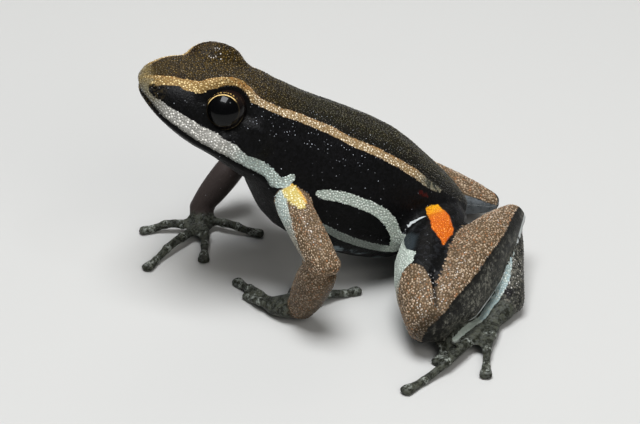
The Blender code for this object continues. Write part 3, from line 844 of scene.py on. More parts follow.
rim_beside = np.zeros(len(rows))
rim_half = np.full(len(rows), -1.0)
fade = np.zeros(len(rows))
blue_slate = np.zeros(len(rows))
spots = np.full(len(rows), FAR)
for side in "lr":
    arm = limb_places(rows, "upper_arm", side)
    near_arm = on_limb(["upper_arm"], side)
    near_shoulder = near_arm | (np.linalg.norm(rows - JOINTS[side]["shoulder"], axis=1) < SHOULDER_REACH)
    patch = inside_patch(arm[:, [0, 2]], ARM_PATCH_OUTLINE)
    flash = np.where(near_shoulder & (arm[:, 1] > 0), np.maximum(flash, patch), flash)
    near_top = np.minimum((0.85 - arm[:, 0]) / 0.35, (arm[:, 2] + 0.4) / 0.3)
    arm_rim = ramp(np.maximum((arm[:, 2] - 0.12) / 0.35, near_top), 0, 1)
    yellow = np.where(near_shoulder, 2.0 - 0.72 * arm_rim, yellow)
    pale = np.where(near_arm, inside_stripe(arm, ARM_EDGE) * 0.4, pale)
    fade = np.where(near_arm, 0.7 * ramp(arm[:, 0], 1.5, 5.0), fade)
    brown = np.where(near_arm, arm[:, 1] + ARM_BROWN_LOW, brown)
    fore = limb_places(rows, "forearm", side)
    brown = np.where(on_limb(["forearm", "hand"], side), fore[:, 1] + ARM_BROWN_LOW, brown)
    thigh = limb_places(rows, "thigh", side)
    near_hip = np.linalg.norm(rows - JOINTS[side]["hip"], axis=1) < HIP_REACH
    near_thigh = on_limb(["thigh"], side) | (near_hip & ~on_limb(["shank", "tarsus", "foot"], side))
    patch = inside_patch(thigh[:, [0, 2]], FLASH_OUTLINE)
    flash = np.where(near_thigh & (thigh[:, 1] > 0.6), np.maximum(flash, patch), flash)
    yellow = np.where(near_thigh, 1.0 - ramp(thigh[:, 0] + thigh[:, 2] * 0.9, -0.6, 2.6), yellow)
    around, thick = around_limb(thigh)
    front_side = np.minimum(value_at(THIGH_PALE, thigh[:, 0]) - around, around + THIGH_UNDER) * thick
    front_side = np.minimum(front_side, thigh[:, 0] - THIGH_PALE[0][0])
    front_side = np.minimum(front_side, (10.3 - thigh[:, 0]) * 0.4)
    pale = np.where(on_limb(["thigh"], side), np.maximum(pale, front_side), pale)
    beside, half = beside_line(thigh, left_line("thigh", THIGH_RIM_HIGHLIGHT), (1, 0, 0))
    rim_beside = np.where(half > -1, beside, rim_beside)
    rim_half = np.where(near_thigh, np.maximum(rim_half, half), rim_half)
    fade = np.where(on_limb(["thigh"], side), 0.9 * ramp(thigh[:, 0], 8.0, 10.0), fade)
    smooth_patch = ramp(inside_stripe(thigh, left_line("thigh", SLATE_PATCH)), -0.2, 0.3)
    blue_slate = np.where(near_thigh, smooth_patch, blue_slate)
    knee = (thigh[:, 0] - value_at(THIGH_SPLIT, thigh[:, 2])) * 0.7
    brown = np.where(on_limb(["thigh"], side), np.minimum(knee, thigh[:, 1] + 0.9), brown)
    shank = limb_places(rows, "shank", side)
    around, thick = around_limb(shank)
    near_shank = on_limb(["shank"], side)
    split = value_at(SHANK_SPLIT, shank[:, 0])
    brown = np.where(near_shank, np.minimum((around - split) * thick, (150 - around) * thick), brown)
    inner = np.minimum(around % 360 - 150, 250 - around % 360)
    outer = np.minimum(split + 2 - around, around + 112)
    slate = np.where(near_shank, np.maximum(outer, inner) * thick, slate)
    blue_slate = np.where(near_shank & (inner > 0), 1.0, blue_slate)
    line_half = SHANK_LINE_HALF * (1.6 * ramp(shank[:, 0], 1.0, 4.0) - 0.6)
    rim_beside = np.where(near_shank, (around - value_at(SHANK_LINE, shank[:, 0])) * thick, rim_beside)
    rim_half = np.where(near_shank, line_half * thick, rim_half)
    low_leg = on_limb(["tarsus", "foot"], side)
    slate = np.where(low_leg, 1.0, slate)
    on_foot = low_leg | (near_shank & (around < -5)) | on_limb(["toe_1", "toe_2", "toe_3", "toe_4"], side)
    pale = np.where(on_foot, inside_stripe(shank, left_line("shank", FOOT_LINE)), pale)
    for line in FOOT_SPOTS:
        spots = np.where(low_leg, np.maximum(spots, inside_stripe(shank, left_line("shank", line))), spots)
red = inside_stripe(folded, RED_SPOT)
# Stripes along the limbs where white highlights are painted into the colour, so that the skin looks wet
# there.
PAINTED_GLINT_LINES = {
    "upper_arm": [((7.0, -3.8, 9.4, 0.5), (8.2, -3.35, 8.9, 0.45), (9.9, -2.65, 8.1, 0.30))],
    "thigh": [((11.5, 5.0, 5.4, 0.5), (12.6, 4.7, 4.9, 0.7), (13.6, 4.1, 4.2, 0.6))],
    "shank": [
        ((13.3, 5.5, 4.4, 0.5), (12.5, 6.1, 4.8, 0.6), (11.6, 6.8, 5.2, 0.5), (9.5, 8.3, 6.0, 0.3)),
        ((5.3, 10.4, 5.9, 0.4), (6.0, 11.6, 6.0, 0.4))
    ],
    "tarsus": [((7.0, 12.6, 3.3, 0.4), (8.0, 12.5, 2.9, 0.5), (9.4, 11.6, 2.4, 0.4))],
}
KNEE_SHADE_CENTRE = (14.4, 4.8, 2.6)
LID_GLINT = (23.0, -1.70, 3.12)
painted_glint = np.zeros(len(rows))
blue = np.where(folded[:, 0] > 15.0, 0.75 * (1 - ramp(folded[:, 0], 19.3, 21.8)), 0.25)
# Painted shade: the low stripe, the forearms and hands, the knees and the far arm are laid darker through
# this field.
low_stripe_shade = ramp(inside_stripe(folded, LOW_STRIPE), -0.5, 0.0) * ramp(folded[:, 0], 6.0, 7.2)
painted_shade = np.where(side_stripe > -0.2, 0.8 * low_stripe_shade, 0)
for side in "lr":
    for bone, lines in PAINTED_GLINT_LINES.items():
        places = limb_places(rows, bone, side)
        for line in lines:
            shine = ramp(inside_stripe(places, left_line(bone, line)), -0.5, 0.3)
            painted_glint = np.maximum(painted_glint, np.where(on_limb([bone], side), shine, 0))
    blue = np.where(on_limb(["shank", "tarsus", "foot"], side), 1.0, blue)
    blue = np.where(on_limb(["upper_arm"], side), 0.6, blue)
    fore = limb_places(rows, "forearm", side)
    # painted shade over the forearm and hand, strongest on the rear side toward the wrist
    shade = 0.45 + 0.55 * ramp(fore[:, 2] + 0.25 * fore[:, 0], 0.4, 2.2)
    painted_shade = np.where(on_limb(["forearm", "hand"], side), shade, painted_shade)
    # painted shade round the knee
    from_knee = limb_places(rows, "shank", side) - limb_places([KNEE_SHADE_CENTRE], "shank", "l")[0]
    knee_shade = 1 - ramp(np.linalg.norm(from_knee, axis=1), 0.9, 2.1)
    painted_shade = np.where(on_limb(["thigh", "shank"], side), np.maximum(painted_shade, knee_shade), painted_shade)
# A painted highlight on the far eye's lid only.
lid = np.linalg.norm(trunk - LID_GLINT, axis=1)
painted_glint = np.maximum(painted_glint, ramp(0.75 - lid, 0.0, 0.3))
# Painted shade: the far arm is laid brown all over, then darker and duller than the near one.
far_arm = on_limb(["upper_arm", "forearm", "hand"], "r").astype(float)
brown = np.maximum(brown, 2 * far_arm - 1)
painted_shade = np.maximum(painted_shade, far_arm)
print("corners in flash:", count(flash > 0), "pale:", count(pale > 0))
print("corners in brown:", count(brown > 0), "slate:", count(slate > 0))

# %% [markdown]
# The border between the trunk and a limb is where the nearest trunk solid and the nearest limb solid are
# equally far, and so is the border between an arm or foot and its digits.

# %% Measure the borders of trunk, limbs and digits
TRUNK_SOLIDS = ("torso", "head", "lower_jaw", "eye_l", "eye_r")


def distance_to(names, rows):
    """How far each corner is from the nearest of some solids."""
    corners, faces = [], []
    for name in names:
        mesh = NODES[name].data
        start = len(corners)
        corners.extend(vertex.co / MM for vertex in mesh.vertices)
        faces.extend([start + number for number in polygon.vertices] for polygon in mesh.polygons)
    tree = BVHTree.FromPolygons(corners, faces)
    return np.array([tree.find_nearest(Vector(row))[3] for row in rows])


digit_solids = [name for name in NODES if name.startswith(("finger", "toe"))]
paw_solids = [name for name in NODES if name.startswith(("hand", "foot"))]
limb_solids = [name for name in NODES if name not in TRUNK_SOLIDS and name not in digit_solids]
from_trunk = distance_to(TRUNK_SOLIDS, rows)
from_limb = distance_to(limb_solids, rows)
from_digit = distance_to(digit_solids, rows)
from_paw = distance_to(paw_solids, rows)
limb = from_trunk - np.minimum(from_limb, from_digit)
digit = np.maximum(np.minimum(from_limb, from_trunk) - from_digit, 0.2 - np.minimum(from_paw, from_digit))
print("limb corners:", count(limb > 0), "hand, foot and digit corners:", count(digit > 0))

# %% Store the distances on the skin's corners


def store(mesh, name, values):
    """Keeps three numbers on each corner of a mesh under one name, which a material can read."""
    kept = mesh.attributes.new(name, "FLOAT_VECTOR", "POINT")
    kept.data.foreach_set("vector", values.astype(np.float32).ravel())


# detail_marks holds the painted highlights, the blue tint and the painted shade.
MARK_FIELDS = {
    "trunk_marks": (stripe, above_stripe, lip), "pale_marks": (pale, belly, eye_ring),
    "limb_marks": (brown, slate, limb), "patch_marks": (flash, yellow, digit),
    "detail_marks": (painted_glint, blue, painted_shade), "spot_marks": (rim_beside, blue_slate, spots),
    "more_marks": (red, joint_share, far_arm), "trunk_place": tuple(folded.T),
}
for name, fields in MARK_FIELDS.items():
    store(skin.data, name, np.stack(fields, 1))
print("stored:", [kept.name for kept in skin.data.attributes if kept.data_type == "FLOAT_VECTOR"])

# %% [markdown]
# ## Calves and folds
# The solids give the limbs their main shape. Two things are finer: the calf, which swells below the shank
# until it nearly meets the foot, and the folds where a bent limb pinches its own skin. Both are moves
# along the skin's normals, strongest in the middle of the place and fading out, as a thumb and a wire
# tool would make them in clay.

# %% Swell the calves and press in the folds
CALF_RISE = 0.60
ELBOW = ((10.75, -1.55, 6.45), 1.0, 0.24)
KNEE_FOLD = ((11.3, 5.50, 5.40), (12.3, 5.35, 5.00), (13.0, 5.25, 4.60), (13.7, 5.20, 4.15))
ELBOW_FOLD = ((10.3, -3.1, 5.60), (10.84, -2.18, 5.74), (10.5, -1.60, 5.60), (9.8, -1.30, 5.60))
FOLD_DEPTH = 0.26
FOLD_HALF = 0.22
rows = coordinates(skin)
outward = directions(skin)
move = np.zeros(len(rows))
fold = np.zeros(len(rows))
for side in "lr":
    shank = limb_places(rows, "shank", side)
    around = around_limb(shank)[0]
    calf = ramp(shank[:, 0], 0.8, 3.2) * (1 - ramp(shank[:, 0], 6.5, 9.5))
    calf = calf * ramp(around, -120, -65) * (1 - ramp(around, -25, 25))
    move += np.where(on_limb(["shank"], side), CALF_RISE * calf, 0)
    upper = limb_places(rows, "upper_arm", side)
    from_elbow = np.linalg.norm(upper - limb_places([ELBOW[0]], "upper_arm", "l")[0], axis=1)
    move += ELBOW[2] * (1 - ramp(from_elbow, 0.1, ELBOW[1]))
    for bone, line in (("thigh", KNEE_FOLD), ("upper_arm", ELBOW_FOLD)):
        places = limb_places(rows, bone, side)
        away = -inside_stripe(places, left_line(bone, [(*point, 0.0) for point in line]))
        fold = np.maximum(fold, np.exp(-((away / FOLD_HALF) ** 2)))
move -= FOLD_DEPTH * fold
put(skin, rows + outward * move[:, None])
print("highest rise and deepest fold in mm:", move.max().round(2), move.min().round(2))
MARK_FIELDS["fold_marks"] = (fold, rim_half, fade)
store(skin.data, "fold_marks", np.stack(MARK_FIELDS["fold_marks"], 1))

# %% [markdown]
# ## Grains
# The frog's back, stripes and limbs are covered with low wet grains, and each one catches the light on
# its own. A bump texture gives the light but not the outline, so the grains are real domes. One dome is
# modelled once and set on the skin some thousands of times, closer where the frog's grains are finer. A
# grain takes its markings from the one place where it sits, so it has one colour, and a stripe ends in
# whole grains, as it does on the frog.

# %% Choose where the grains sit
# Each kind has its spacing, then a dome's half length, half width and height, in millimetres.
GRAIN_KINDS = {
    "back": (0.19, 0.095, 0.085, 0.042), "stripe": (0.165, 0.100, 0.088, 0.040),
    "brown": (0.180, 0.125, 0.100, 0.064),
    "arm": (0.155, 0.100, 0.080, 0.048), "flash": (0.17, 0.100, 0.088, 0.045),
    "black_thigh": (0.34, 0.055, 0.05, 0.035), "flank": (1.2, 0.042, 0.036, 0.030),
    "pinpoints": (0.24, 0.042, 0.036, 0.030), "tarsus": (0.22, 0.100, 0.080, 0.052),
}
KIND_NAMES = [None, *GRAIN_KINDS]
SAMPLES_PER_SQUARE_MM = 170
SPACING_SHARE = 0.92
rng = np.random.default_rng(11)
skin.data.calc_loop_triangles()
flat = np.zeros(len(skin.data.loop_triangles) * 3, np.int32)
skin.data.loop_triangles.foreach_get("vertices", flat)
thirds = flat.reshape(-1, 3)
rows = coordinates(skin)
outward = directions(skin)
sides = np.cross(rows[thirds[:, 1]] - rows[thirds[:, 0]], rows[thirds[:, 2]] - rows[thirds[:, 0]])
areas = np.linalg.norm(sides, axis=1) / 2
wanted = int(areas.sum() * SAMPLES_PER_SQUARE_MM)
chosen = rng.choice(len(thirds), wanted, p=areas / areas.sum())
first, second = rng.random(wanted), rng.random(wanted)
over = first + second > 1
first, second = np.where(over, 1 - first, first), np.where(over, 1 - second, second)
shares = np.stack([1 - first - second, first, second], 1)


def at_samples(values):
    """Values of the skin's corners, read between the corners at each sample."""
    return (values[thirds[chosen]] * (shares[:, :, None] if values.ndim == 2 else shares)).sum(1)


spots_on_skin = at_samples(rows)
on_limbs = at_samples(limb) > 0
along, above = at_samples(folded)[:, 0], at_samples(above_stripe)
clumps = np.sin(along * 4.1) + np.sin(along * 2.3 + above * 5.0) + 0.5 * np.sin(above * 9.0 - along) > 0.35
under_stripe = ~on_limbs & clumps & (above < -0.35) & (above > -1.9) & (along > 11.0) & (along < 21.0)
over_stripe = ~on_limbs & clumps & (above > 0.45) & (above < 1.5) & (along > 6.0) & (along < 16.5)
low_leg = on_limb(["tarsus", "foot"], "l") | on_limb(["tarsus", "foot"], "r")
on_brown = on_limbs & (at_samples(brown) > 0)
on_arm = at_samples(on_limb(["upper_arm", "forearm", "hand"], "l").astype(float)) > 0.5
bare = (at_samples(digit) > -0.1) | (at_samples(eye_ring) > 0.12) | (spots_on_skin[:, 2] < 0.5)
bare |= (at_samples(far_arm) > 0.5) | (at_samples(blue_slate) > 0.5)
kind = np.zeros(wanted, int)
for name, mask in (
    ("flank", ~on_limbs & (at_samples(belly) < -0.5)),
    ("pinpoints", under_stripe),
    ("back", ~on_limbs & (above > 0)),
    ("pinpoints", over_stripe),
    ("black_thigh", on_limbs),
    (None, on_limbs & (at_samples(slate) > -0.1)),
    ("tarsus", on_limbs & (at_samples(low_leg.astype(float)) > 0.9)),
    ("brown", on_brown),
    ("arm", on_brown & on_arm),
    ("stripe", np.max([at_samples(stripe), at_samples(lip), at_samples(pale)], axis=0) > 0),
    ("flash", at_samples(flash) > 0),
    (None, bare),
):
    kind[mask] = KIND_NAMES.index(name)
near_samples = KDTree(wanted)
for number, spot in enumerate(spots_on_skin):
    near_samples.insert(spot, number)
near_samples.balance()
spacings = np.array([0.0] + [values[0] for values in GRAIN_KINDS.values()])[kind] * SPACING_SHARE
open_place = kind > 0
kept_samples = []
for number in range(wanted):
    if open_place[number]:
        kept_samples.append(number)
        for _, other, away in near_samples.find_range(spots_on_skin[number], spacings[number]):
            open_place[other] = open_place[other] and away > spacings[other]
kept_samples = np.array(kept_samples)
for number, name in enumerate(GRAIN_KINDS, 1):
    print("grains on", name, count(kind[kept_samples] == number))

# %% Set a dome on every place
GRAIN_SINK = 0.35
TURN_SPREAD = 0.5
DOME_CORNERS = 12
DOME_FACES = 20
ALONG_LIMB = np.zeros((len(rows), 3))
for side in "lr":
    for bone, (start_joint, end_joint, _) in BONES.items():
        step = np.array(JOINTS[side][end_joint]) - JOINTS[side][start_joint]
        ALONG_LIMB[on_limb([bone], side)] = step / np.linalg.norm(step)
ALONG_LIMB[np.linalg.norm(ALONG_LIMB, axis=1) == 0] = trunk_point(1, 0, 0) - VENT


def grain_piece(name, numbers):
    """One mesh of flattened domes at some of the samples, each carrying the marks of its place."""
    clear_selection()
    bpy.ops.mesh.primitive_ico_sphere_add(subdivisions=1, radius=1.0, location=(0, 0, 0))
    dome = bpy.context.object
    shape = coordinates(dome)
    faces = np.array([list(polygon.vertices) for polygon in dome.data.polygons])
    bpy.data.objects.remove(dome, do_unlink=True)
    up = at_samples(outward)[numbers]
    up /= np.linalg.norm(up, axis=1)[:, None]
    ahead = at_samples(ALONG_LIMB)[numbers]
    beside = np.cross(up, ahead)
    beside /= np.linalg.norm(beside, axis=1)[:, None]
    ahead = np.cross(beside, up)
    turn = rng.normal(0, TURN_SPREAD, len(numbers))[:, None]
    lengthwise = ahead * np.cos(turn) + beside * np.sin(turn)
    beside = beside * np.cos(turn) - ahead * np.sin(turn)
    sizes = np.array([(0.0,) * 4] + list(GRAIN_KINDS.values()))[kind[numbers]][:, 1:]
    sizes = sizes * rng.uniform(0.75, 1.15, (len(numbers), 1))
    middle = spots_on_skin[numbers] - up * sizes[:, 2:] * GRAIN_SINK
    corners = middle[:, None]
    for column, direction in enumerate((lengthwise, beside, up)):
        size = sizes[:, column : column + 1]
        corners = corners + shape[None, :, column : column + 1] * (direction * size)[:, None]
    every_face = (faces[None] + DOME_CORNERS * np.arange(len(numbers))[:, None, None]).reshape(-1, 3)
    mesh = bpy.data.meshes.new(name)
    mesh.from_pydata((corners.reshape(-1, 3) * MM).tolist(), [], every_face.tolist())
    made = bpy.data.objects.new(name, mesh)
    bpy.context.collection.objects.link(made)
    mesh.shade_smooth()
    for mark, fields in MARK_FIELDS.items():
        values = np.stack([at_samples(field)[numbers] for field in fields], 1)
        store(mesh, mark, np.repeat(values, DOME_CORNERS, axis=0))
    # Pinpoint and flank grains get a 2 in the first column, so that the finish paints white highlights on
    # some of them.
    pin_highlights = np.isin(kind[numbers], [KIND_NAMES.index(name) for name in ("pinpoints", "flank")])
    tones = np.stack([np.where(pin_highlights, 2.0, 1.0), rng.random(len(numbers)), rng.random(len(numbers))], 1)
    store(mesh, "grain", np.repeat(tones, DOME_CORNERS, axis=0))
    grid = math.ceil(math.sqrt(len(numbers)))
    cell = np.repeat(np.arange(len(numbers)), 3 * DOME_FACES)
    around = np.tile(np.array([(0.2, 0.2), (0.8, 0.2), (0.5, 0.8)]), (len(numbers) * DOME_FACES, 1))
    bake_map = mesh.uv_layers.new(name="OFBake")
    places = (np.stack([cell % grid, cell // grid], 1) + around) / grid
    bake_map.data.foreach_set("uv", places.astype(np.float32).ravel())
    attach(made, "root")
    print(name, "grains:", len(numbers), "triangles:", len(mesh.polygons))
    return made


limb_grain = on_limbs[kept_samples]
grain_pieces = [
    grain_piece("grains_on_limbs", kept_samples[limb_grain]),
    grain_piece("grains_on_trunk", kept_samples[~limb_grain])
]
store(skin.data, "grain", np.zeros((len(rows), 3)))

# %% [markdown]
# ## The skin's finish
# The domes give the coarse grain. The skin itself has a finer one, with grains a fifth of a millimetre
# across, and painted highlights: white points laid into the colour where the skin should look wet. Three
# effects are used again and again, so each is a node group with its own settings: grains, ragged edges and
# glints, which paint highlights. What is added always goes to `tree`, the finish or group in work.

# %% Short ways to add nodes
PER_METRE = 1000.0


def add(kind, inputs=None, **settings):
    """Adds a node. Each input is given a value or a socket to link from."""
    made = tree.nodes.new(kind)
    for name, value in settings.items():
        setattr(made, name, value)
    for name, value in (inputs or {}).items():
        if isinstance(value, bpy.types.NodeSocket):
            tree.links.new(value, made.inputs[name])
        else:
            made.inputs[name].default_value = value
    return made


def calc(operation, first, second=0.0, third=0.0):
    """One step of arithmetic, giving its result."""
    return add("ShaderNodeMath", {0: first, 1: second, 2: third}, operation=operation).outputs[0]


def both(first, second):
    """The product of two numbers."""
    return calc("MULTIPLY", first, second)


def paint(share, under, over):
    """Lays one colour over another by a share from 0 to 1."""
    mix = add("ShaderNodeMix", data_type="RGBA")
    for number, value in ((0, share), (6, under), (7, over)):
        if isinstance(value, bpy.types.NodeSocket):
            tree.links.new(value, mix.inputs[number])
        else:
            mix.inputs[number].default_value = value if number == 0 else (*value, 1.0)
    return mix.outputs[2]


def coats(colour, *layers):
    """Lays coats over a colour, one after another. Each is a share and a colour."""
    for share, over in layers:
        colour = paint(share, colour, over)
    return colour


def rise(value, low, high, bottom=0.0, top=1.0):
    """A smooth rise from bottom to top as the value goes from low to high."""
    inputs = {"Value": value, "From Min": low, "From Max": high, "To Min": bottom, "To Max": top}
    return add("ShaderNodeMapRange", inputs, interpolation_type="SMOOTHSTEP").outputs[0]


def noise(scale, detail, roughness):
    """A cloudy noise by the place on the object."""
    place = add("ShaderNodeTexCoord").outputs["Object"]
    inputs = {"Vector": place, "Scale": scale, "Detail": detail, "Roughness": roughness}
    return add("ShaderNodeTexNoise", inputs).outputs["Fac"]


def cells(size, randomness):
    """Round cells of a size in millimetres, as the distance from their middles and their random colours."""
    place = add("ShaderNodeTexCoord").outputs["Object"]
    inputs = {"Vector": place, "Scale": calc("DIVIDE", PER_METRE, size), "Randomness": randomness}
    made = add("ShaderNodeTexVoronoi", inputs).outputs
    return made["Distance"], add("ShaderNodeSeparateColor", {"Color": made["Color"]}).outputs


def start_group(name, numbers, outputs):
    """A new node group with number inputs and number outputs."""
    group = bpy.data.node_groups.new(name, "ShaderNodeTree")
    for label, value in numbers:
        socket = group.interface.new_socket(label, in_out="INPUT", socket_type="NodeSocketFloat")
        socket.default_value = value
    for label in outputs:
        group.interface.new_socket(label, in_out="OUTPUT", socket_type="NodeSocketFloat")
    return group, group.nodes.new("NodeGroupInput").outputs, group.nodes.new("NodeGroupOutput").inputs


# %% Grains: round domes, each with its own tone
tree, given, result = start_group("grains", [("Size", 0.2)], ["Height", "Cell"])
from_middle, tones = cells(given["Size"], 0.85)
tree.links.new(rise(from_middle, 0.62, 0.10), result["Height"])
tree.links.new(tones[0], result["Cell"])
print("group:", tree.name)

# %% Ragged edges: a distance inside becomes a mask whose edge follows the grains
tree, given, result = start_group(
    "ragged_edge", [("Inside", 0.0), ("Waver", 0.08), ("Wave Size", 0.5), ("Soft", 0.03)], ["Mask"]
)
waves = noise(calc("DIVIDE", PER_METRE, given["Wave Size"]), 3.0, 0.6)
shift = both(calc("SUBTRACT", waves, 0.5), both(given["Waver"], 4.0))
moved = calc("ADD", given["Inside"], shift)
low = both(given["Soft"], -1.0)
tree.links.new(rise(moved, low, given["Soft"]), result["Mask"])
print("group:", tree.name)

# %% Glints: painted highlights on a few grains
tree, given, result = start_group("glints", [("Size", 0.2), ("Share", 0.1)], ["Mask"])
from_middle, tones = cells(given["Size"], 1.0)
picked = calc("LESS_THAN", tones[1], given["Share"])
near = rise(from_middle, 0.40, 0.15)
tree.links.new(both(picked, near), result["Mask"])
print("group:", tree.name)

# %% [markdown]
# The colours go on in the order in which a painter would lay them: black all over, then the brown back,
# the limbs, the patches, the pale stripes, and the painted highlights last. Painted shade goes in on the
# way: darker skin between the domes, in the folds, on the forearms, round the knees, on the low stripe
# and over the far arm.

# %% Mix the skin's colours


def use(group, **numbers):
    """Places a node group with its own settings."""
    made = tree.nodes.new("ShaderNodeGroup")
    made.node_tree = bpy.data.node_groups[group]
    for name, value in numbers.items():
        socket = made.inputs[name.replace("_", " ")]
        if isinstance(value, bpy.types.NodeSocket):
            tree.links.new(value, socket)
        else:
            socket.default_value = value
    return made


skin_finish = bpy.data.materials.new("frog_skin")
skin_finish.use_nodes = True
tree = skin_finish.node_tree
shader = tree.nodes["Principled BSDF"]


def marks(name):
    """The three stored distances of one name."""
    stored = add("ShaderNodeAttribute", attribute_type="GEOMETRY", attribute_name=name)
    return add("ShaderNodeSeparateXYZ", {0: stored.outputs["Vector"]}).outputs


m_stripe, m_above, m_lip = marks("trunk_marks")
m_pale, m_belly, m_ring = marks("pale_marks")
m_brown, m_slate, m_limb = marks("limb_marks")
m_flash, m_yellow, m_digit = marks("patch_marks")
m_painted_glint, m_blue, m_painted_shade = marks("detail_marks")
m_beside, m_blue_slate, m_spots = marks("spot_marks")
m_red, m_joint, m_far_arm = marks("more_marks")
m_along, _, m_height = marks("trunk_place")
g_kind, g_tone, g_chance = marks("grain")
m_fold_shade, m_rim_half, m_fade = marks("fold_marks")
g_here = calc("MINIMUM", g_kind, 1.0)
fine = use("grains", Size=0.17).outputs
coarse = use("grains", Size=0.30).outputs
cloud = noise(700.0, 4.0, 0.6)
mottle = noise(2200.0, 3.0, 0.6)
speck = noise(4500.0, 3.0, 0.7)


def edge(inside, waver=0.06, wave_size=0.35, soft=0.025):
    """A mask with a ragged edge from a stored distance."""
    return use("ragged_edge", Inside=inside, Waver=waver, Wave_Size=wave_size, Soft=soft).outputs["Mask"]


def rest(share):
    """What a share leaves of one."""
    return calc("SUBTRACT", 1.0, share)


def on_grains(low, high, bottom=0.0, top=1.0):
    """A share on the domes only, which follows each dome's own tone."""
    return both(g_here, rise(g_tone, low, high, bottom, top))


# The skin where no dome sits. The darker layers laid on it below are painted shade in the gaps between the
# grains.
between = rest(g_here)
BLACK = (0.0030, 0.0030, 0.0030)
BLACK_SOFT = (0.0055, 0.0055, 0.006)
BACK_BROWN = (0.140, 0.086, 0.014)
BACK_GRAIN = (0.15, 0.115, 0.055)
BACK_OLIVE = (0.050, 0.048, 0.019)
BACK_DARK = (0.008, 0.006, 0.004)
BACK_SHADE = (0.007, 0.007, 0.006)
BACK_RUST = (0.085, 0.040, 0.012)
SNOUT_TAN = (0.25, 0.19, 0.085)
MARBLE = (0.22, 0.27, 0.29)
colour = paint(rise(fine["Cell"], 0.2, 1.0), BLACK, BLACK_SOFT)
low_back = both(rise(m_above, 1.9, 0.5), rise(m_along, 19.0, 14.0))
back_colour = coats(
    paint(rise(m_along, 14.0, 23.0), BACK_OLIVE, BACK_BROWN),
    (both(rise(m_above, 0.9, 0.3), rise(m_along, 15.0, 22.0, 0.1, 0.6)), BACK_RUST),
    # painted shade between the grains
    (both(between, 0.80), BACK_DARK),
    (rise(speck, 0.49, 0.56, 0.0, 0.85), BACK_DARK),
    (both(low_back, 0.8), BACK_SHADE),
    (on_grains(0.5, 0.0, 0.0, 0.75), BACK_DARK),
    (on_grains(0.6, 1.0, 0.0, 0.35), BACK_GRAIN),
    (rise(m_along, 27.30, 27.85, 0.0, 0.9), SNOUT_TAN),
    (rise(mottle, 0.52, 0.64, 0.0, 0.5), BACK_DARK),
)
marble = both(rise(m_belly, 0.4, 1.3), rise(cloud, 0.48, 0.60))
colour = coats(
    colour,
    (edge(m_above), back_colour),
    (both(marble, rise(m_along, 13.0, 9.5)), MARBLE),
)
print("colours laid: black, back and belly")

# %% Lay the limbs' browns, slates and greys
COPPER = (0.230, 0.155, 0.088)
COPPER_LIGHT = (0.52, 0.40, 0.28)
COPPER_RED = (0.33, 0.135, 0.045)
COPPER_DARK = (0.042, 0.029, 0.017)
UMBER_SHADE = (0.026, 0.020, 0.012)
LIMB_BLACK = (0.016, 0.017, 0.020)
SLATE = (0.034, 0.034, 0.029)
SPOT_BLACK = (0.006, 0.005, 0.005)
SLATE_EDGE = (0.008, 0.008, 0.007)
SLATE_DARK = (0.010, 0.010, 0.009)
SLATE_LIGHT = (0.150, 0.147, 0.122)
SLATE_GRAIN = (0.17, 0.155, 0.125)
SLATE_BLUE = (0.034, 0.044, 0.050)
SLATE_SHINE = (0.14, 0.155, 0.165)
DIGIT_GREY = (0.018, 0.019, 0.014)
DIGIT_DARK = (0.008, 0.008, 0.006)
DIGIT_LIGHT = (0.056, 0.059, 0.044)
DIGIT_JOINT_HIGHLIGHT = (0.33, 0.355, 0.32)
FAR_ARM_SHADE = (0.048, 0.038, 0.036)
limb_colour = coats(
    paint(rise(coarse["Cell"], 0.6, 1.0, 0.0, 0.7), BLACK, LIMB_BLACK),
    (both(m_blue_slate, 0.8), SLATE_BLUE),
)
slate_colour = coats(
    paint(rise(speck, 0.47, 0.60), SLATE, SLATE_LIGHT),
    (rise(mottle, 0.50, 0.62, 0.0, 0.8), SLATE_DARK),
    (rise(m_slate, 0.85, 0.15, 0.0, 0.85), SLATE_EDGE),
    (both(rise(cloud, 0.46, 0.56), rise(m_slate, 2.2, 0.6)), SLATE_DARK),
    (both(m_blue_slate, rise(mottle, 0.75, 0.40, 0.3, 1.0)), SLATE_SHINE),
    (on_grains(0.2, 0.9, 0.0, 0.8), SLATE_GRAIN),
    (edge(m_spots, 0.08, 0.4, 0.06), SPOT_BLACK),
)
limb_colour = paint(edge(m_slate, 0.08, 0.5), limb_colour, slate_colour)
brown_colour = coats(
    paint(on_grains(0.15, 1.0), COPPER, COPPER_LIGHT),
    (rise(speck, 0.54, 0.66, 0.0, 0.4), COPPER_RED),
    (rise(mottle, 0.50, 0.38, 0.0, 0.4), COPPER_DARK),
    (both(g_here, rise(g_chance, 0.80, 0.95, 0.0, 0.7)), COPPER_RED),
    # painted shade between the grains
    (both(between, 0.62), COPPER_DARK),
    # painted shade on the forearms, knees and far arm
    (both(m_painted_shade, 0.8), UMBER_SHADE),
    # painted shade on the far arm
    (both(m_far_arm, 0.9), FAR_ARM_SHADE),
)
limb_colour = paint(edge(m_brown, 0.10, 0.5, 0.05), limb_colour, brown_colour)
digit_colour = coats(
    paint(rise(mottle, 0.46, 0.58), DIGIT_GREY, DIGIT_LIGHT),
    (rise(speck, 0.52, 0.64, 0.0, 0.8), DIGIT_DARK),
    # painted highlights on the joints and discs of the digits
    (both(rise(m_joint, 0.2, 0.9, 0.15, 0.75), rise(speck, 0.46, 0.60)), DIGIT_JOINT_HIGHLIGHT),
)
limb_colour = paint(edge(m_digit, 0.15, 0.6, 0.15), limb_colour, digit_colour)
colour = paint(edge(m_limb, 0.05, 0.4, 0.06), colour, limb_colour)
print("colours laid: limbs")

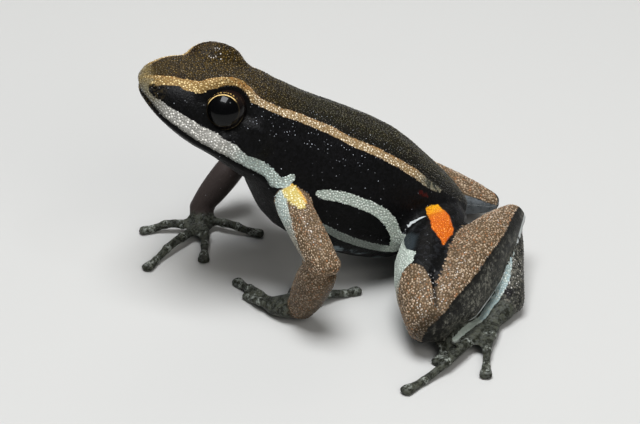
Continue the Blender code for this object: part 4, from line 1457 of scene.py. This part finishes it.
# %% Lay the stripes and patches
GOLD = (0.58, 0.40, 0.15)
GOLD_LIGHT = (0.92, 0.72, 0.36)
GOLD_DARK = (0.15, 0.085, 0.028)
GOLD_SNOUT = (0.24, 0.195, 0.085)
GOLD_RUST = (0.32, 0.12, 0.02)
GOLD_LOW = (0.36, 0.225, 0.07)
SAND = (0.60, 0.47, 0.28)
SAND_LOW = (0.40, 0.29, 0.15)
SAND_LIGHT = (0.92, 0.80, 0.60)
HIP_DARK = (0.03, 0.033, 0.025)
HIP_GREY = (0.16, 0.165, 0.12)
ORANGE = (0.74, 0.19, 0.010)
ORANGE_LIGHT = (0.95, 0.34, 0.05)
ORANGE_DEEP = (0.50, 0.075, 0.004)
RED = (0.060, 0.006, 0.004)
YELLOW = (0.80, 0.42, 0.015)
CREAM_GAP_SHADE = (0.48, 0.36, 0.09)
CREAM_LIGHT = (1.0, 0.97, 0.66)
CREAM_DARK = (0.62, 0.50, 0.16)
PALE_GREEN = (0.62, 0.69, 0.58)
PALE_BLUE = (0.38, 0.52, 0.57)
PALE_LIGHT = (0.78, 0.83, 0.76)
PALE_SHADE = (0.085, 0.100, 0.090)
PALE_GAP_SHADE = (0.20, 0.235, 0.20)
# The four colours below paint highlights: a white line on the legs, white spots, sparkle and pinpoints.
RIM_LINE_AND_HIGHLIGHT = (0.62, 0.66, 0.66)
PAINTED_GLINT_WHITE = (0.86, 0.83, 0.79)
PAINTED_SPARKLE = (0.45, 0.47, 0.50)
PIN_HIGHLIGHT = (0.75, 0.80, 0.88)
SILVER = (0.58, 0.575, 0.54)
LIP_GAP_SHADE = (0.11, 0.105, 0.085)
LIP_LOW = (0.36, 0.35, 0.33)
LIP_LIGHT = (0.92, 0.90, 0.84)
TURQUOISE = (0.52, 0.76, 0.72)
SNOUT_OLIVE = (0.22, 0.185, 0.085)
SNOUT_SPECK = (0.075, 0.055, 0.022)
SNOUT_CORNER = (0.28, 0.21, 0.09)
LIP_SNOUT = (0.13, 0.13, 0.105)
# painted shade between the grains of the cream patch
cream_colour = paint(both(between, 0.6), paint(g_tone, CREAM_DARK, CREAM_LIGHT), CREAM_GAP_SHADE)
orange_share = rise(m_yellow, 1.0, 0.0)
patch_colour = coats(
    paint(rise(m_yellow, 0.0, 1.0), ORANGE, YELLOW),
    (rise(speck, 0.50, 0.62, 0.0, 0.55), ORANGE_DEEP),
    # painted shade between the grains
    (both(both(between, rise(m_yellow, 1.0, 0.0, 0.15, 1.0)), 0.6), ORANGE_DEEP),
    (both(orange_share, on_grains(0.45, 1.0, 0.0, 0.9)), ORANGE_LIGHT),
    (both(orange_share, on_grains(0.45, 0.0, 0.0, 0.8)), ORANGE_DEEP),
    (rise(m_yellow, 1.0, 1.8), cream_colour),
)
pale_share = both(edge(m_pale, 0.05), rest(m_fade))
rim_inside = calc("SUBTRACT", m_rim_half, calc("ABSOLUTE", m_beside))
pale_colour = coats(
    paint(m_blue, PALE_GREEN, PALE_BLUE),
    (rise(speck, 0.42, 0.66, 0.0, 0.8), PALE_LIGHT),
    (on_grains(0.2, 0.9, 0.0, 0.7), PALE_LIGHT),
    # painted shade between the grains
    (both(between, 0.55), PALE_GAP_SHADE),
    # painted shade on the low stripe
    (both(m_painted_shade, 0.95), PALE_SHADE),
)
colour = coats(
    colour,
    (pale_share, pale_colour),
    (edge(m_flash, rise(m_yellow, 1.1, 1.6, 0.06, 0.17), 0.30, 0.06), patch_colour),
    (both(edge(m_red, 0.12, 0.3, 0.08), 0.7), RED),
    # A thin white line: painted highlight along the thigh's front edge, and along the shank's lower edge a
    # pale line that is partly marking and partly painted highlight.
    (both(edge(rim_inside, 0.01, 0.3, 0.02), 0.85), RIM_LINE_AND_HIGHLIGHT),
)
gold_colour = coats(
    paint(rise(g_tone, 0.0, 1.0), GOLD_LOW, GOLD_LIGHT),
    (between, GOLD),
)
sand_colour = coats(
    paint(rise(g_tone, 0.0, 1.0), SAND_LOW, SAND_LIGHT),
    (between, SAND),
)
gold_colour = coats(
    gold_colour,
    (rise(m_along, 22.5, 20.0), sand_colour),
    # painted shade between the grains
    (both(between, 0.80), GOLD_DARK),
    (both(rise(m_above, 0.05, 0.45, 0.0, 0.55), rise(speck, 0.42, 0.58)), GOLD_RUST),
    (rise(mottle, 0.54, 0.68, 0.0, 0.35), GOLD_DARK),
    (rise(m_along, 27.3, 27.9, 0.0, 0.6), GOLD_SNOUT),
    (rise(m_along, 7.0, 5.0, 0.0, 0.8), HIP_GREY),
    (both(rise(m_along, 6.6, 4.8), rise(mottle, 0.46, 0.58)), HIP_DARK),
)
colour = paint(edge(m_stripe), colour, gold_colour)
snout_specks = both(rise(m_along, 26.4, 27.4), rise(speck, 0.49, 0.57, 0.0, 0.6))
# Painted highlights: some of the pinpoint and flank grains are laid near-white.
pin_highlights = both(calc("SUBTRACT", g_kind, g_here), rise(g_chance, 0.35, 1.0))
lip_colour = coats(
    paint(rise(g_tone, 0.0, 1.0), LIP_LOW, LIP_LIGHT),
    (between, SILVER),
    (both(m_blue, 0.6), TURQUOISE),
    (rise(m_along, 25.6, 27.5, 0.0, 0.75), LIP_SNOUT),
    (both(rise(m_along, 26.5, 27.5, 0.0, 0.8), rise(m_height, -0.6, 0.3)), SNOUT_OLIVE),
    (both(both(rise(m_along, 26.8, 27.3), rise(m_above, -0.6, -0.1)), 0.8), SNOUT_CORNER),
    # painted shade between the grains
    (both(between, 0.5), LIP_GAP_SHADE),
)
colour = coats(
    colour,
    (edge(m_lip), lip_colour),
    (snout_specks, SNOUT_SPECK),
    (edge(m_ring, 0.0, 0.4, 0.05), BLACK),
    (pin_highlights, PIN_HIGHLIGHT),
    # painted shade: the folds are laid nearly black
    (rise(m_fold_shade, 0.35, 0.95, 0.0, 0.9), BLACK),
)
print("colours laid: stripes and patches")

# %% Add the painted highlights, the relief and the shader
# Painted highlights: a few grey-white points sprinkled over the skin, left out where the white spots are.
painted_sparkle = use("glints", Size=0.12, Share=0.012).outputs["Mask"]
unglinted_share = rest(rise(m_painted_glint, 0.0, 0.2))
# Painted highlights: white spots on some grains of the limbs and the far lid.
painted_glint_spots = use("glints", Size=0.18, Share=0.42).outputs["Mask"]
colour = coats(
    colour,
    (both(both(painted_sparkle, unglinted_share), 0.35), PAINTED_SPARKLE),
    (both(both(painted_glint_spots, m_painted_glint), 0.8), PAINTED_GLINT_WHITE),
)
tree.links.new(colour, shader.inputs["Base Color"])
tree.links.new(rise(speck, 0.3, 0.7, 0.38, 0.55), shader.inputs["Roughness"])
shader.inputs["Specular IOR Level"].default_value = 0.09
shader.inputs["Coat Weight"].default_value = 0.0
shader.inputs["Coat Roughness"].default_value = 0.15
relief = calc("ADD", both(fine["Height"], 0.35), both(speck, 0.45))
bump = add("ShaderNodeBump", {"Height": relief, "Strength": 0.6, "Distance": 0.00006})
tree.links.new(bump.outputs["Normal"], shader.inputs["Normal"])
skin.data.materials.append(skin_finish)
grain_finish = skin_finish.copy()
grain_finish.name = "frog_grains"
grain_shader = grain_finish.node_tree.nodes["Principled BSDF"]
grain_shader.inputs["Coat Weight"].default_value = 0.8
grain_shader.inputs["Coat Roughness"].default_value = 0.12
for piece in grain_pieces:
    piece.data.materials.append(grain_finish)
print("skin finish nodes:", len(tree.nodes))

# %% [markdown]
# ## The eyes
# Each eye is a wet ball, nearly black, with a fine gold ring round the pupil and gold flecks above it. A
# ball's own grid has its poles on the gaze, so rings of corners lie round the pupil, and the rings are
# drawn by the distance from the gaze. The cornea bulges a little where the pupil is, which is what makes
# the light on it small and sharp.

# %% Shape the eyeballs
CORNEA_RISE = 0.05


def eyeball(side):
    """A ball looking along its gaze, with a cornea and its own places stored on it, in millimetres."""
    clear_selection()
    bpy.ops.mesh.primitive_uv_sphere_add(segments=96, ring_count=64, radius=EYE_RADIUS, location=(0, 0, 0))
    ball = bpy.context.object
    ball.name = "eyeball_" + side
    rows = coordinates(ball)
    off_gaze = np.hypot(rows[:, 0], rows[:, 1])
    front = (rows[:, 2] > 0) * np.exp(-((off_gaze / 1.0) ** 2))
    rows += rows / np.linalg.norm(rows, axis=1)[:, None] * (CORNEA_RISE * front)[:, None]
    gaze = Vector(GAZES[side]).normalized()
    upward = (Vector((0, 0, 1)) - gaze * gaze.z).normalized()
    level = upward.cross(gaze)
    turned = np.array([list(level), list(upward), list(gaze)])
    store(ball.data, "eye_place", rows * [1 if side == "l" else -1, 1, 1])
    put(ball, (rows @ turned + EYE_CENTRES[side]) * MM)
    bpy.ops.object.shade_smooth()
    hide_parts("eye_" + side)
    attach(ball, "root")
    return ball


eyeballs = [eyeball(side) for side in "lr"]
print("eyeball corners:", [len(ball.data.vertices) for ball in eyeballs])

# %% Paint the pupil, its gold ring and the flecked iris
eye_finish = bpy.data.materials.new("frog_eye")
eye_finish.use_nodes = True
tree = eye_finish.node_tree
shader = tree.nodes["Principled BSDF"]
eye_level, eye_up, _ = marks("eye_place")
PUPIL = (0.0012, 0.0012, 0.0014)
IRIS = (0.011, 0.0065, 0.0055)
IRIS_LOW = (0.004, 0.003, 0.003)
LOW_LINE = (0.10, 0.080, 0.045)
IRIS_GOLD = (0.60, 0.38, 0.12)
RING_GOLD = (0.95, 0.68, 0.28)
PUPIL_WIDE = 1.17
PUPIL_HIGH = 1.13
speck = noise(8000.0, 2.0, 0.6)
sides = calc("DIVIDE", eye_level, PUPIL_WIDE)
heights = calc("DIVIDE", eye_up, PUPIL_HIGH)
rim = calc("SQRT", calc("ADD", both(sides, sides), both(heights, heights)))


def off_rim(place):
    """How far a point of the eye lies from one of the rings round the pupil."""
    return calc("ABSOLUTE", calc("SUBTRACT", rim, place))


iris_colour = paint(rise(eye_up, 0.2, 0.9), IRIS_LOW, IRIS)
low_line = both(rise(off_rim(1.24), 0.03, 0.008), rise(eye_up, -0.2, -0.8))
iris_colour = paint(both(low_line, rise(speck, 0.40, 0.52, 0.25, 0.9)), iris_colour, LOW_LINE)
arc = calc("SUBTRACT", eye_up, both(eye_level, 0.12))
fleck = both(both(rise(arc, 0.55, 1.0), rise(off_rim(1.13), 0.05, 0.02)), rise(speck, 0.50, 0.58))
ring_share = both(rise(off_rim(1.0), 0.038, 0.010), rise(arc, 0.45, 0.80, 0.02, 1.0))
colour = coats(
    paint(rise(rim, 1.0, 1.04), PUPIL, iris_colour),
    (both(fleck, 0.85), IRIS_GOLD),
    (both(ring_share, rise(speck, 0.30, 0.5, 0.55, 1.0)), RING_GOLD),
)
tree.links.new(colour, shader.inputs["Base Color"])
shader.inputs["Roughness"].default_value = 0.35
shader.inputs["Specular IOR Level"].default_value = 0.03
shader.inputs["Coat Weight"].default_value = 0.5
shader.inputs["Coat Roughness"].default_value = 0.02
shader.inputs["Coat IOR"].default_value = 1.38
for ball in eyeballs:
    ball.data.materials.append(eye_finish)
print("eye finish nodes:", len(tree.nodes))

# %% [markdown]
# ## Last steps
# The skin was worked in millimetres, which keep the numbers readable. The frame is in metres, so the mesh
# is scaled once, with the object itself left at the origin, unturned and unscaled. The skin then stands
# for all the solids but the eyes, and everything rides on the one body, because a museum model has no
# joints.

# %% Scale to metres and smooth the shading
skin.data.transform(Matrix.Scale(MM, 4))
clear_selection()
skin.select_set(True)
bpy.context.view_layer.objects.active = skin
bpy.ops.object.shade_smooth()
triangles = sum(len(polygon.vertices) - 2 for polygon in skin.data.polygons)
print("skin triangles:", triangles)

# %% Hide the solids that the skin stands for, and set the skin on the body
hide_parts(*[name for name in NODES if not name.startswith("eye_")])
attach(skin, "root")

# %% Measure the box round the shown objects
low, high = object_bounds()
